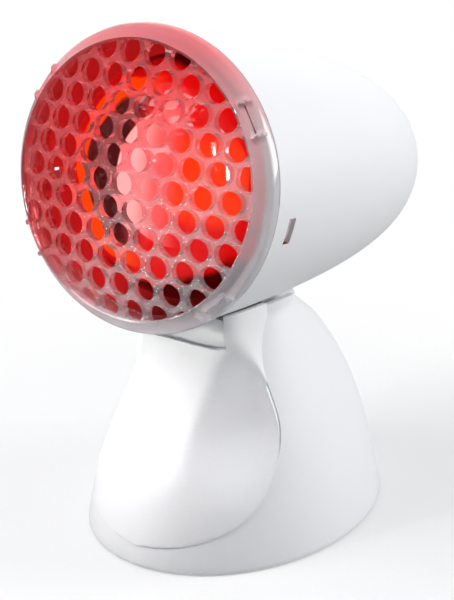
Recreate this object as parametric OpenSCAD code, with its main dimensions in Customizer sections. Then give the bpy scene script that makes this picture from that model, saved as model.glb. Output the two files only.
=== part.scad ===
// Infrared heat therapy lamp for a table: a tilting reflector-lamp head on a bell-shaped stand.
// Millimetres. +Z up, the lamp faces -Y, and the origin is the middle of the stand's footprint.

/* [Stand] */
// Half width of the stand where it meets the table
base_half_w = 58; // [52:0.5:66]
// Half depth of the stand where it meets the table
base_half_d = 72.8; // [64:0.5:82]
// Half width of the bell at the neck
neck_half_w = 26; // [24.5:0.5:32]
// Half depth of the bell at the neck
neck_half_d = 27; // [25:0.5:32]
// Height at which the bell reaches its neck size
bell_h = 95; // [90:1:100]
// How far the neck leans to the front
neck_lean = 5.5; // [3:0.5:8]
// Wall of the rear cowl
cowl_wall = 2.4; // [1.8:0.1:3]

/* [Front petal] */
// Largest half width of the petal-shaped front cover
petal_half_w = 40.3; // [36:0.1:44]
// Half width of the petal at the neck
petal_neck_half_w = 24; // [22:0.5:25]
// Height of the petal's lowest point
petal_tip_z = 10; // [8:0.5:14]
// Height at which the petal is widest
petal_wide_z = 36; // [30:1:44]
// Depth of the slot's floor below the neck
slot_depth = 7; // [5:0.5:10]
// Half width of the slot in the neck
slot_half_w = 20; // [19.5:0.1:21]
// Wall of the petal
petal_wall = 2.2; // [1.8:0.1:3]
// How far the petal stands proud of the bell
petal_proud = 0.8; // [0.4:0.1:1.5]

/* [Head] */
// Outer diameter of the mouth ring
mouth_d = 116; // [110:1:124]
// Length of the head from the mouth plane to the tail
head_len = 174; // [165:1:185]
// Height of the mouth centre above the neck
mouth_rise = 65; // [63:0.5:71]
// How far the mouth centre stands in front of the origin
mouth_y = -63.3; // [-68:0.1:-58]
// Upward tilt of the mouth at rest, in degrees
face_up = 10; // [8:0.5:12]
// Extra downward lean of the tail, in degrees
tail_droop = 1.3; // [0:0.1:2]
// Wall of the head housing
head_wall = 2.2; // [1.8:0.1:3]

/* [Guard] */
// Spacing of the round holes in the guard
hole_pitch = 11.05; // [10.5:0.05:12]
// Width of the web between two holes
hole_web = 2; // [1.5:0.1:3]
// Width of the plain band between the mouth ring's edge and the perforated field
field_margin = 6; // [5.8:0.1:10]
// Radius of curvature of the domed field
dome_r = 195; // [180:1:240]
// Height of the dome's top above the mouth plane
dome_h = 13.4; // [11:0.1:15]
// Thickness of the domed field
dome_t = 3; // [2.4:0.1:4]

/* [Tilt joint] */
// Height of the neck above the tilt axis
pivot_drop = 9; // [8:0.5:11]
// Distance of the tilt axis behind the origin
pivot_y = 6; // [4:0.5:8]
// Radius of the steel axle
axle_r = 3; // [2.5:0.1:4]
// Radius of the drum under the head
drum_r = 15; // [14:0.1:18]
// Half width of the drum
drum_half_w = 15.5; // [15:0.1:17]
// Thickness of one ear of the pivot frame
ear_t = 3.4; // [3:0.1:4]
// Angle between two click positions, in degrees
click_step = 7.5; // [5:0.5:9]
// Number of click positions
clicks = 5; // [3:1:6]

/* [Bulb] */
// Diameter of the reflector bulb
bulb_d = 95; // [90:1:98]
// Length of the bulb from its face to its end contact
bulb_len = 130; // [125:1:135]
// Distance from the mouth plane to the top of the bulb's face
bulb_face_z = 1; // [-2:0.5:3]
// Outer radius of the screw cap's thread
cap_r = 13; // [12.9:0.01:13.1]
// Length of the threaded part of the screw cap
cap_len = 21; // [18:1:24]

/* [Fits] */
// Gap between pieces that only sit next to each other
seat_gap = 0.3; // [0.2:0.05:0.5]
// Radial running clearance of the drum on its axle
run_gap = 0.05; // [0.02:0.01:0.09]

/* [Hidden] */
$fn = 64;

white = [0.95, 0.95, 0.95];
steel = [0.72, 0.73, 0.75];
brass = [0.8, 0.66, 0.36];
ceramic = [0.9, 0.88, 0.83];
black = [0.15, 0.15, 0.16];
ruby = [0.7, 0.05, 0.08];
clear = [0.95, 0.85, 0.85, 0.4];

// ---------- shapes of the stand ----------

// Half width, half depth and middle of the bell at height z
function climb(z) = min(1, z / bell_h);
function bell_a(z) = base_half_w - (base_half_w - neck_half_w) * pow(climb(z), 1.1);
function bell_b(z) = base_half_d - (base_half_d - neck_half_d) * pow(climb(z), 2.4);
function bell_y(z) = -neck_lean * pow(climb(z), 3.3);
// Outline of the petal: its half width at height z
petal_top_z = bell_h + 4;
function petal_w(z) = z < petal_wide_z
    ? petal_half_w * sqrt(max(0, 1 - pow(max(0, petal_wide_z - z) / (petal_wide_z - petal_tip_z), 2.8)))
    : petal_neck_half_w + (petal_half_w - petal_neck_half_w)
        * (1 + cos(180 * min(1, (z - petal_wide_z) / (petal_top_z - petal_wide_z)))) / 2;
// Where the petal's edge lies on the bell: the distance along Y at height z
function rim_share(z) = min(0.9995, petal_w(z) / bell_a(z));
function petal_rim_y(z) = bell_y(z) - bell_b(z) * sqrt(1 - pow(rim_share(z), 2));
// The petal's front line leaves the bell's front low down and stands upright at the neck
neck_front_y = -42;
slot_floor_z = bell_h - slot_depth;
function rise(z) = min(1, max(0, (z - petal_tip_z) / (bell_h - petal_tip_z)));
function petal_front_y(z) = neck_front_y
    + (bell_y(petal_tip_z) - bell_b(petal_tip_z) - petal_proud - neck_front_y) * (1 + cos(180 * rise(z))) / 2;
function smooth(a, b, x) = let (t = min(1, max(0, (x - a) / (b - a)))) t * t * (3 - 2 * t);

// Underside of the head at half width x and distance y, from the lines of its housing
mouth_z = bell_h + mouth_rise;
mouth_r = mouth_d / 2;
head_r = mouth_r - 1.3;
tail_tilt = face_up + tail_droop;
function head_share(s) = pow(max(0, 1 - pow(s, 1.34)), 0.25);
function belly_r(y) = head_r * head_share(max(0, (y - mouth_y) / cos(tail_tilt)) / head_len);
function belly_z(x, y) = mouth_z - (y - mouth_y) * tan(tail_tilt)
    - sqrt(max(0, pow(belly_r(y), 2) - x * x)) / cos(tail_tilt);

// A skin of rings: outer and inner hold one ring of points for each level, lowest first and
// anticlockwise from above. The lowest "shut" bands run all the way round; the bands above them
// leave an opening between the last point of a ring and the first.
module wall_skin(outer, inner, shut) {
    rows = len(outer);
    cols = len(outer[0]);
    shift = rows * cols;
    points = [for (row = outer) each row, for (row = inner) each row];
    function o(i, j) = i * cols + j % cols;
    function n(i, j) = shift + o(i, j);
    sides = [for (i = [0:rows - 2], j = [0:i < shut ? cols - 1 : cols - 2]) each [
        [o(i, j), o(i + 1, j + 1), o(i, j + 1)],
        [o(i, j), o(i + 1, j), o(i + 1, j + 1)],
        [n(i, j), n(i, j + 1), n(i + 1, j + 1)],
        [n(i, j), n(i + 1, j + 1), n(i + 1, j)]
    ]];
    foot = [for (j = [0:shut > 0 ? cols - 1 : cols - 2]) each [
        [o(0, j), o(0, j + 1), n(0, j + 1)],
        [o(0, j), n(0, j + 1), n(0, j)]
    ]];
    crown = [for (j = [0:cols - 2]) each [
        [o(rows - 1, j), n(rows - 1, j + 1), o(rows - 1, j + 1)],
        [o(rows - 1, j), n(rows - 1, j), n(rows - 1, j + 1)]
    ]];
    sill = shut > 0 ? [
        [o(shut, cols - 1), n(shut, 0), o(shut, 0)],
        [o(shut, cols - 1), n(shut, cols - 1), n(shut, 0)]
    ] : [];
    edges = [for (i = [shut:rows - 2]) each [
        [o(i, 0), n(i, 0), n(i + 1, 0)],
        [o(i, 0), n(i + 1, 0), o(i + 1, 0)],
        [o(i, cols - 1), n(i + 1, cols - 1), n(i, cols - 1)],
        [o(i, cols - 1), o(i + 1, cols - 1), n(i + 1, cols - 1)]
    ]];
    polyhedron(points = points, faces = concat(sides, foot, crown, sill, edges));
}

// The same row of points moved by d to the left of its travel; an open row
function inset(row, d) = let (n = len(row)) [for (i = [0:n - 1])
    let (
        before = row[max(0, i - 1)],
        after = row[min(n - 1, i + 1)],
        way = [after.x - before.x, after.y - before.y],
        unit = way / norm(way)
    ) concat([row[i].x - d * unit.y, row[i].y + d * unit.x], len(row[i]) > 2 ? [row[i].z] : [])];

// A flat strip of thickness t that follows a path of points, drawn as an outline
module strip(path, t) {
    back = inset(path, t);
    polygon(concat(path, [for (i = [len(path) - 1:-1:0]) back[i]]));
}

// Shapes drawn in the YZ plane and thickened along X between two distances
module across(x0, x1) {
    translate([x0, 0, 0])
        rotate([90, 0, 90])
            linear_extrude(height = x1 - x0)
                children();
}

// The same piece on the other side as well
module both_sides() {
    children();
    mirror([1, 0, 0])
        children();
}

// A screw with its head's underside at the origin and its shank downwards
module screw(head_radius, head_h, r, l) {
    difference() {
        union() {
            cylinder(r = head_radius, h = head_h);
            translate([0, 0, -l])
                cylinder(r = r, h = l + head_h / 2);
        }
        for (turn = [0, 90])
            rotate([0, 0, turn])
                translate([-head_radius * 0.6, -0.35, head_h * 0.5])
                    cube([head_radius * 1.2, 0.7, head_h]);
    }
}

// ---------- the head's own frame: Z out of the mouth, Y up, origin in the mouth plane ----------

module in_head() {
    translate([0, mouth_y, mouth_z])
        rotate([90 - face_up, 0, 0])
            children();
}

// The housing and the bulb lean down a little more towards the tail
module in_body() {
    in_head()
        rotate([-tail_droop, 0, 0])
            children();
}

body_steps = 26;
function body_line(inner) = [for (i = [0:body_steps])
    let (s = 1 - pow(1 - i / body_steps, 3))
    [(head_r - inner) * head_share(s), -(head_len - inner) * s]];

// Everything inside the housing's outer lines
module body_solid() {
    rotate_extrude()
        polygon(concat([[0, 6], [head_r, 6]], body_line(0)));
}

// Height of the head's underside at one point when the head is tilted right up
tilt_max = click_step * (clicks - 1);
pivot_z = bell_h - pivot_drop;
function swept_z(x, y, t, n = 5, g = 8) = let (u = (y - pivot_y - g * sin(t)) / cos(t)) n == 0
    ? pivot_z - u * sin(t) + g * cos(t)
    : swept_z(x, y, t, n - 1, belly_z(x, pivot_y + u) - pivot_z);
neck_gap = 0.8;
function neck_top(x, y) = min(belly_z(x, y), swept_z(x, y, tilt_max / 2), swept_z(x, y, tilt_max)) - neck_gap;

// ---------- stand ----------

// Heights of the bands of the stand's skins, for a wall that ends at skin_top
skin_top = bell_h + 5;
skirt_z = petal_tip_z + 0.02;
skin_shares = [
    0, 0.007, 0.024, 0.055, 0.1, 0.144, 0.2, 0.266, 0.344,
    0.433, 0.522, 0.611, 0.689, 0.756, 0.822, 0.889, 0.944, 1
];
skin_levels = [for (s = skin_shares) skirt_z + (skin_top - skirt_z) * s];
skirt_levels = [0.8, 5];
function level_z(v, top) = v < skirt_z
    ? v
    : v + (top - skin_top) * pow((v - skirt_z) / (skin_top - skirt_z), 2);

// Bell point at height z and ellipse angle f
function bell_point(z, f) = [bell_a(z) * cos(f), bell_y(z) + bell_b(z) * sin(f), z];
function bell_pull(z, f) = norm([bell_a(z) * sin(f), bell_b(z) * cos(f)]);
function rim_angle(z) = acos(rim_share(z));

// Distance along Y of the petal's face at share t of its half width
function petal_y(t, z) = let (
    a = 1 - smooth(25, 55, z),
    c = smooth(70, 94, z),
    rim = petal_rim_y(z),
    front = petal_front_y(z),
    bell = bell_y(z) - bell_b(z) * sqrt(max(0, 1 - pow(t * rim_share(z), 2))),
    broad = 0.3 + 0.35 * smooth(50, 92, z),
    flared = rim + (front - rim) * (1 - smooth(broad, 1.02, t)) * (1 - 0.12 * t * t),
    boxed = rim + (front - rim) * pow(max(0, 1 - pow(t, 5)), 0.2)
) a * bell + (1 - a - c) * flared + c * boxed;

// How squarely the petal's edge meets the bell: 0 where it lies along it, 1 where it crosses it
function edge_turn(z) = let (
    f = -rim_angle(z),
    way = [0.03 * petal_w(z), petal_y(1, z) - petal_y(0.97, z)],
    side = [-bell_a(z) * sin(f), bell_b(z) * cos(f)]
) max(0, (side.y * way.x - side.x * way.y) / norm(way) / norm(side));

// Share of the way round the cowl: its columns stand closer together at the front
function way_round(q) = q - 0.05 * sin(360 * q);
function edge_pull(q) = sign(1 - 2 * q) * pow(abs(1 - 2 * q), 1.8);
// Height at which a column of the cowl meets the head, found by climbing it again from the last guess
function column_top(q, n = 5, z = bell_h) = n == 0 ? z : let (
    p = bell_point(z, 360 * way_round(q) - 90 + (90 - rim_angle(z)) * edge_pull(q))
) column_top(q, n - 1, neck_top(max(0, abs(p.x) - cowl_wall), p.y));

// One band of the cowl, from the petal's edge round the back to its other edge
edge_gap = seat_gap + 0.2;
back_steps = 52;
function cowl_row(v) = [for (j = [0:back_steps])
    let (
        q = j / back_steps,
        open_f = 360 * way_round(q) - 90,
        z = level_z(v, column_top(q)),
        zr = max(skirt_z, z),
        stop = edge_gap + (petal_wall - petal_proud) * edge_turn(zr),
        r = rim_angle(zr) - stop * 180 / PI / bell_pull(zr, -rim_angle(zr))
    ) bell_point(z, open_f + (90 - r) * edge_pull(q))];

// The saddle closes the back of the neck with a sheet that stays just below the tail's travel.
// Its sides end in the middle of the cowl's wall.
saddle_t = 2;
saddle_steps = 12;
function saddle_z(y) = neck_top(0, y) - 0.2;
function wall_x(y, z) = bell_a(z) * sqrt(max(0, 1 - pow((y - bell_y(z)) / bell_b(z), 2))) - cowl_wall / 2;

module saddle() {
    front = pivot_y + drum_r + 2;
    back_z = column_top(0.5);
    back = bell_y(back_z) + bell_b(back_z) - cowl_wall / 2;
    line = [for (i = [0:saddle_steps]) let (y = front + (back - front) * i / saddle_steps) [y, saddle_z(y)]];
    points = [for (p = line) each [
        [-wall_x(p.x, p.y), p.x, p.y],
        [wall_x(p.x, p.y), p.x, p.y],
        [wall_x(p.x, p.y - saddle_t), p.x, p.y - saddle_t],
        [-wall_x(p.x, p.y - saddle_t), p.x, p.y - saddle_t]
    ]];
    last = 4 * saddle_steps;
    polyhedron(points = points, faces = concat(
        [for (i = [0:4:last - 4], k = [0:3]) each [
            [i + k, i + 4 + k, i + 4 + (k + 1) % 4],
            [i + k, i + 4 + (k + 1) % 4, i + (k + 1) % 4]
        ]],
        [[0, 1, 2, 3], [last + 3, last + 2, last + 1, last]]
    ));
}

plate_z = 1.2;
plate_t = 3;
base_screw_x = base_half_w - 19;
base_screw_y = base_half_d - 31.8;
base_screw_at = [for (sx = [-1, 1], sy = [-1, 1])
    [base_screw_x * sx, base_screw_y * sy, plate_z + plate_t + seat_gap]];
base_screw_r = 1.45;
inlet_z = 14;
inlet_r = 5;
inlet_y = bell_b(inlet_z);

module rear_cowl() {
    outer = [for (v = concat(skirt_levels, skin_levels)) cowl_row(v)];
    inner = [for (row = outer) inset(row, cowl_wall)];
    color(white)
        difference() {
            union() {
                wall_skin(outer, inner, len(skirt_levels));
                saddle();
                for (p = base_screw_at)
                    translate(p)
                        cylinder(r = 4, h = 10.5, $fn = 24);
            }
            for (p = base_screw_at)
                translate([p.x, p.y, 0])
                    cylinder(r = base_screw_r + 0.1, h = 13.5);
            translate([0, inlet_y + 5, inlet_z])
                rotate([90, 0, 0])
                    cylinder(r = inlet_r + 0.1, h = 20);
        }
}

// One band of the petal, from its left edge over the front to its right edge
petal_steps = 30;
function petal_row(v) = [for (j = [0:petal_steps])
    let (
        t = sin(90 * (2 * j / petal_steps - 1)),
        top = belly_z(t * petal_neck_half_w, petal_y(abs(t), petal_top_z)) - neck_gap,
        z = level_z(v, top) + seat_gap * (1 - smooth(petal_tip_z, petal_wide_z, v)),
        w = max(0.5, petal_w(z - seat_gap * (1 - smooth(petal_tip_z, petal_wide_z, v))))
    ) [t * w, petal_y(abs(t), z), z]];

module front_petal() {
    rows = [for (v = skin_levels) petal_row(v)];
    outer = [for (row = rows) inset(row, -petal_proud)];
    inner = [for (row = rows) inset(row, petal_wall - petal_proud)];
    color(white)
        difference() {
            wall_skin(outer, inner, 0);
            translate([-slot_half_w, neck_front_y - 20, slot_floor_z])
                cube([2 * slot_half_w, 34, 40]);
        }
}

// Outline of the base plate and of the foot, as an ellipse with the given half axes
module oval(a, b) {
    polygon([for (i = [0:71]) [a * cos(5 * i), b * sin(5 * i)]]);
}

plate_a = bell_a(plate_z + plate_t) - cowl_wall - seat_gap;
plate_b = bell_b(plate_z + plate_t) - cowl_wall - seat_gap;
foot_a = base_half_w - 14;
foot_b = base_half_d - 13.8;
foot_w = 4;
foot_sink = 1.2;

module foot_outline(gap = 0) {
    difference() {
        oval(foot_a + gap, foot_b + gap);
        oval(foot_a - foot_w - gap, foot_b - foot_w - gap);
    }
}

// Feet of the pivot frame, and the screws that hold it and the terminal block
frame_screw_at = [for (sx = [-1, 1], y = [-14, 26]) [24.5 * sx, y]];
block_y = base_half_d - 26.8;
block_screw_x = 17;

module base_plate() {
    color(steel)
        difference() {
            translate([0, 0, plate_z])
                linear_extrude(height = plate_t)
                    oval(plate_a, plate_b);
            linear_extrude(height = plate_z + foot_sink)
                foot_outline(0.1);
            for (p = base_screw_at)
                translate([p.x, p.y, 0]) {
                    cylinder(r = base_screw_r + 0.15, h = 10);
                    cylinder(r = 3.2, h = plate_z + 1.5);
                }
            for (p = frame_screw_at)
                translate(p)
                    cylinder(r = 1.3, h = 10);
            for (sx = [-1, 1])
                translate([sx * block_screw_x, block_y, 0])
                    cylinder(r = 1.3, h = 10);
            for (x = [-12:8:12])
                translate([x - 2, -52, 0])
                    cube([4, 16, 10]);
        }
}

module foot_ring() {
    color(black)
        linear_extrude(height = plate_z + foot_sink)
            foot_outline();
}

module base_screws() {
    color(steel)
        for (p = base_screw_at)
            translate([p.x, p.y, plate_z + 1.5])
                rotate([180, 0, 0])
                    screw(2.9, 1.3, base_screw_r, 10);
}

// ---------- tilt joint ----------

ear_x = drum_half_w + seat_gap;
ear_r = 7;
frame_z = plate_z + plate_t;
flange_t = 3;
web_z = pivot_z - drum_r - 13;
web_t = 3;
leaf_x = 10.5;
leaf_w = 6;
leaf_t = 0.6;
leaf_screw_y = 15;
nose_r = 0.6;

module pivot_frame() {
    color(steel)
        difference() {
            union() {
                both_sides()
                    across(ear_x, ear_x + ear_t)
                        union() {
                            polygon([
                                [-17, frame_z], [29, frame_z],
                                [pivot_y + ear_r, pivot_z], [pivot_y - ear_r, pivot_z]
                            ]);
                            translate([pivot_y, pivot_z])
                                circle(r = ear_r);
                        }
                both_sides()
                    translate([ear_x, -20, frame_z])
                        cube([12.4, 52, flange_t]);
                translate([-ear_x - 1, -8, web_z])
                    cube([2 * ear_x + 2, 28, web_t]);
            }
            across(-30, 30)
                translate([pivot_y, pivot_z])
                    circle(r = axle_r + run_gap);
            across(-30, 30)
                polygon([[-2, 14], [16, 14], [12, web_z - 10], [0, web_z - 10]]);
            for (p = frame_screw_at)
                translate(p)
                    cylinder(r = 1.6, h = 20);
            for (sx = [-1, 1])
                translate([sx * leaf_x, leaf_screw_y, web_z - 1])
                    cylinder(r = 1.05, h = 10);
        }
}

module frame_screws() {
    color(steel)
        for (p = frame_screw_at)
            translate([p.x, p.y, frame_z + flange_t])
                screw(2.7, 1.7, 1.3, flange_t + plate_t - 0.6);
}

axle_end = ear_x + ear_t + 2.2;
clip_t = 0.8;
clip_x = ear_x + ear_t + 0.1;

module pivot_axle() {
    color(steel)
        difference() {
            across(-axle_end, axle_end)
                translate([pivot_y, pivot_z])
                    circle(r = axle_r);
            both_sides()
                across(clip_x, clip_x + clip_t + 0.1)
                    translate([pivot_y, pivot_z])
                        difference() {
                            circle(r = axle_r + 1);
                            circle(r = axle_r - 0.6);
                        }
        }
}

module axle_clips() {
    color(steel)
        both_sides()
            across(clip_x, clip_x + clip_t)
                translate([pivot_y, pivot_z])
                    difference() {
                        circle(r = axle_r + 2);
                        circle(r = axle_r - 0.5);
                        translate([0, -axle_r - 2])
                            square([2 * axle_r - 2, 2 * axle_r], center = true);
                    }
}

// Two leaf springs whose noses drop into the notches of the drum
leaf_z = web_z + web_t;
leaf_path = [
    [pivot_y + 13, leaf_z], [pivot_y + 5, leaf_z], [pivot_y - 1, leaf_z + 0.6], [pivot_y - 4, leaf_z + 2.6],
    [pivot_y - 5.2, leaf_z + 5], [pivot_y - 4.6, leaf_z + 7.6], [pivot_y - 2.6, leaf_z + 9.3],
    [pivot_y - 0.2, leaf_z + 9.7]
];

module detent_spring() {
    color(steel)
        both_sides()
            difference() {
                across(leaf_x - leaf_w / 2, leaf_x + leaf_w / 2) {
                    union() {
                        strip(leaf_path, -leaf_t);
                        translate([pivot_y, pivot_z - drum_r])
                            circle(r = nose_r, $fn = 32);
                    }
                }
                translate([leaf_x, leaf_screw_y, web_z])
                    cylinder(r = 1.2, h = 10);
            }
}

module spring_screws() {
    color(steel)
        for (sx = [-1, 1])
            translate([sx * leaf_x, leaf_screw_y, leaf_z + leaf_t])
                screw(2.1, 1.3, 1, web_t + 1);
}

wire_gate_w = 10;
wire_gate_y = pivot_y + 6;
wire_gate_l = 11;
shield_r = 43.4;
shield_t = 2;
shield_low = -33;
shield_high = 16;
web_x = 12;
function around(r, a) = [pivot_y - r * cos(a), pivot_z + r * sin(a)];
module sector(r0, r1) {
    polygon(concat(
        [for (a = [shield_low:3.5:shield_high]) around(r0, a)],
        [for (a = [shield_high:-3.5:shield_low]) around(r1, a)]
    ));
}

module tilt_drum() {
    color(white)
        difference() {
            union() {
                across(-drum_half_w, drum_half_w)
                    translate([pivot_y, pivot_z])
                        circle(r = drum_r);
                both_sides()
                    across(web_x, web_x + 2.6)
                        sector(drum_r - 2, shield_r - shield_t / 2);
                across(-slot_half_w + 0.6, slot_half_w - 0.6)
                    sector(shield_r - shield_t, shield_r);
            }
            in_body()
                translate([0, 0, -0.1])
                    body_solid();
            across(-30, 30)
                translate([pivot_y, pivot_z])
                    circle(r = axle_r + run_gap);
            across(-30, 30)
                for (a = [0:click_step:tilt_max])
                    translate([pivot_y + drum_r * sin(a), pivot_z - drum_r * cos(a)])
                        circle(r = nose_r + 0.1, $fn = 32);
            translate([-wire_gate_w / 2, wire_gate_y, pivot_z - 30])
                cube([wire_gate_w, wire_gate_l, 60]);
            for (p = drum_screw_at)
                translate(p) {
                    cylinder(r = 1.5, h = 30);
                    translate([0, 0, -40])
                        cylinder(r = 2.7, h = 40);
                }
        }
}

// From the floor of the drum's counterbores up into the belly bosses
module drum_screws() {
    color(steel)
        for (p = drum_screw_at)
            translate(p)
                rotate([180, 0, 0])
                    screw(2.4, 1.6, 1.3, 12);
}

// ---------- mains inlet, terminals and wires ----------

bush_flange_r = 6.5;
cord_bore_r = 3.2;

module cord_inlet() {
    color(black)
        translate([0, inlet_y + 1.6, inlet_z])
            rotate([90, 0, 0])
                difference() {
                    union() {
                        cylinder(r = bush_flange_r, h = 1.4);
                        cylinder(r = inlet_r, h = 7.6);
                        translate([0, 0, 6])
                            cylinder(r = bush_flange_r, h = 1.6);
                        translate([0, 0, 1.4])
                            cylinder(r = inlet_r + 0.05, h = 4);
                    }
                    translate([0, 0, -1])
                        cylinder(r = cord_bore_r, h = 12);
                }
}

block_w = 44;
block_d = 12;
block_h = 12;
pole_x = 7;

module terminal_block() {
    color(ceramic)
        difference() {
            union() {
                translate([-block_w / 2, block_y - block_d / 2, frame_z])
                    cube([block_w, block_d, 3]);
                translate([-12, block_y - block_d / 2, frame_z])
                    cube([24, block_d, block_h]);
            }
            for (sx = [-1, 1]) {
                translate([sx * block_screw_x, block_y, 0])
                    cylinder(r = 1.5, h = 20);
                translate([sx * pole_x, block_y - 20, frame_z + 5])
                    rotate([-90, 0, 0])
                        cylinder(r = 1.7, h = 40, $fn = 24);
                for (dy = [-3, 3])
                    translate([sx * pole_x, block_y + dy, frame_z + 5])
                        cylinder(r = 1.6, h = 20, $fn = 24);
            }
        }
}

module terminal_screws() {
    color(steel) {
        for (sx = [-1, 1]) {
            translate([sx * block_screw_x, block_y, frame_z + 3])
                screw(2.6, 1.6, 1.25, plate_t + 2.4);
            for (dy = [-3, 3])
                translate([sx * pole_x, block_y + dy, frame_z + 9.4])
                    screw(1.45, 1.4, 0.9, 1.6);
        }
    }
}

wire_r = 0.9;
function in_body_point(p) = let (
    a = 90 - face_up - tail_droop
) [p.x, mouth_y + p.y * cos(a) - p.z * sin(a), mouth_z + p.y * sin(a) + p.z * cos(a)];

module wire(path) {
    for (i = [0:len(path) - 2])
        let (way = path[i + 1] - path[i], l = norm(way)) {
            translate(path[i])
                rotate([0, acos(way.z / l), atan2(way.y, way.x)])
                    cylinder(r = wire_r, h = l, $fn = 24);
            if (i > 0)
                translate(path[i])
                    sphere(r = wire_r + 0.04, $fn = 24);
        }
}

// The two wires climb from the terminals past the pivot, through the drum, to the lamp holder
module lamp_wires() {
    for (sx = [-1, 1])
        color(sx < 0 ? [0.35, 0.2, 0.12] : [0.15, 0.3, 0.6])
            wire([
                [sx * pole_x, block_y - 4.5, frame_z + 5],
                [sx * pole_x, block_y - 12, frame_z + 6.5],
                [sx * 4.5, wire_gate_y + 13.5, 30],
                [sx * 3, wire_gate_y + 13, web_z + 6],
                [sx * 2.6, wire_gate_y + 6, pivot_z - 18],
                [sx * 2.6, wire_gate_y + 6, pivot_z + 10],
                in_body_point([sx * 2.6, -41, -92]),
                in_body_point([sx * 3, -33, -holder_back + 31]),
                in_body_point([sx * 3.5, -holder_r - 8, -holder_back + 8]),
                in_body_point([sx * 3.5, -holder_r - 7, -wire_pass - 2.6]),
                in_body_point([sx * holder_pole_x, -16, -wire_pass - 1]),
                in_body_point([sx * holder_pole_x, holder_pole_y - 1.6, -wire_pass - 0.6]),
                in_body_point([sx * holder_pole_x, holder_pole_y, -holder_back + 3])
            ]);
}

// ---------- head housing ----------

rim_h = 5.5;
rim_in_r = head_r - head_wall - 0.6;
window_l = 17.4;
window_w = 5;
window_h = 10;
window_a = -10.7;
rim_edge = 0.5;
holder_back = bulb_len - bulb_face_z + 17;
holder_plate_t = 1.2;
wire_pass = holder_back + holder_plate_t + wire_r + seat_gap;
plate_share = (holder_back + holder_plate_t) / (head_len - head_wall);
holder_plate_r = (head_r - head_wall) * head_share(plate_share) - seat_gap;
plate_boss_r = holder_plate_r - 6.5;
plate_boss_at = [for (a = [90, 210, 330])
    [plate_boss_r * cos(a), plate_boss_r * sin(a), -holder_back - holder_plate_t]];
vent_n = 7;
drum_screw_at = [for (sx = [-1, 1]) [8 * sx, pivot_y - 8, pivot_z + 2]];

module head_housing() {
    color(white)
        difference() {
            union() {
                intersection() {
                    in_body()
                        rotate_extrude()
                            polygon(concat(
                                [[head_r - head_wall, 6], [head_r, 6]],
                                body_line(0),
                                [for (i = [body_steps:-1:0]) body_line(head_wall)[i]]
                            ));
                    in_head()
                        translate([0, 0, -250])
                            cylinder(r = 120, h = 250);
                }
                in_head()
                    rotate_extrude()
                        polygon([
                            [rim_in_r, 0], [mouth_r - rim_edge, 0], [mouth_r, -rim_edge],
                            [mouth_r, -3], [mouth_r - 0.7, -rim_h], [rim_in_r, -rim_h]
                        ]);
                intersection() {
                    union() {
                        for (p = drum_screw_at)
                            translate(p)
                                cylinder(r = 3.6, h = 15);
                        in_body()
                            for (p = plate_boss_at)
                                translate([p.x, p.y, -head_len])
                                    cylinder(r = 4, h = head_len + p.z);
                    }
                    in_body()
                        rotate_extrude()
                            polygon(concat([[0, 6], [head_r - 1, 6]], body_line(1)));
                }
            }
            in_head()
                for (a = [window_a, 180 - window_a])
                    rotate([0, 0, a])
                        translate([head_r - 16, -window_h / 2, -window_l - window_w / 2])
                            cube([30, window_h, window_w]);
            in_body()
                for (i = [0:vent_n - 1])
                    let (x = (i - (vent_n - 1) / 2) * 6, h = 2 * sqrt(22 * 22 - x * x) - 6)
                    translate([x - 1.3, -h / 2, -head_len - 10])
                        cube([2.6, h, 26]);
            in_body()
                for (p = plate_boss_at)
                    translate([p.x, p.y, p.z - 9])
                        cylinder(r = 1.1, h = 10);
            translate([-wire_gate_w / 2, wire_gate_y, pivot_z])
                cube([wire_gate_w, wire_gate_l, 30]);
            for (p = drum_screw_at)
                translate(p)
                    cylinder(r = 1.4, h = 12.2);
        }
}

// ---------- front guard ----------

guard_seat = seat_gap;
field_r = mouth_r - field_margin;
skirt_out_r = rim_in_r - seat_gap;
skirt_in_r = skirt_out_r - 1.6;
skirt_l = 7.5;
function dome_z(r, t = 0) = dome_h - t - (dome_r - t - sqrt(pow(dome_r - t, 2) - r * r));
row_holes = [9, 10, 9, 8, 7, 6];
hole_at = [for (k = [-5:5], i = [0:row_holes[abs(k)] - 1])
    [(i - (row_holes[abs(k)] - 1) / 2) * hole_pitch, k * hole_pitch * sqrt(3) / 2]];
pocket_at = [33, 147, 213, 315];
pocket_half_w = 6.6;
rib_t = 1.2;
// Outline of the guard's rim from its bead to its seat, grown outwards by d
function rim_line(d) = [
    [mouth_r - 3.4 + d, 4.7 + d], [mouth_r - 1.4 + d, 2.9 + d],
    [mouth_r - rim_edge + min(d, rim_edge), 1.4 + d], [mouth_r - rim_edge + min(d, rim_edge), guard_seat]
];

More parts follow.
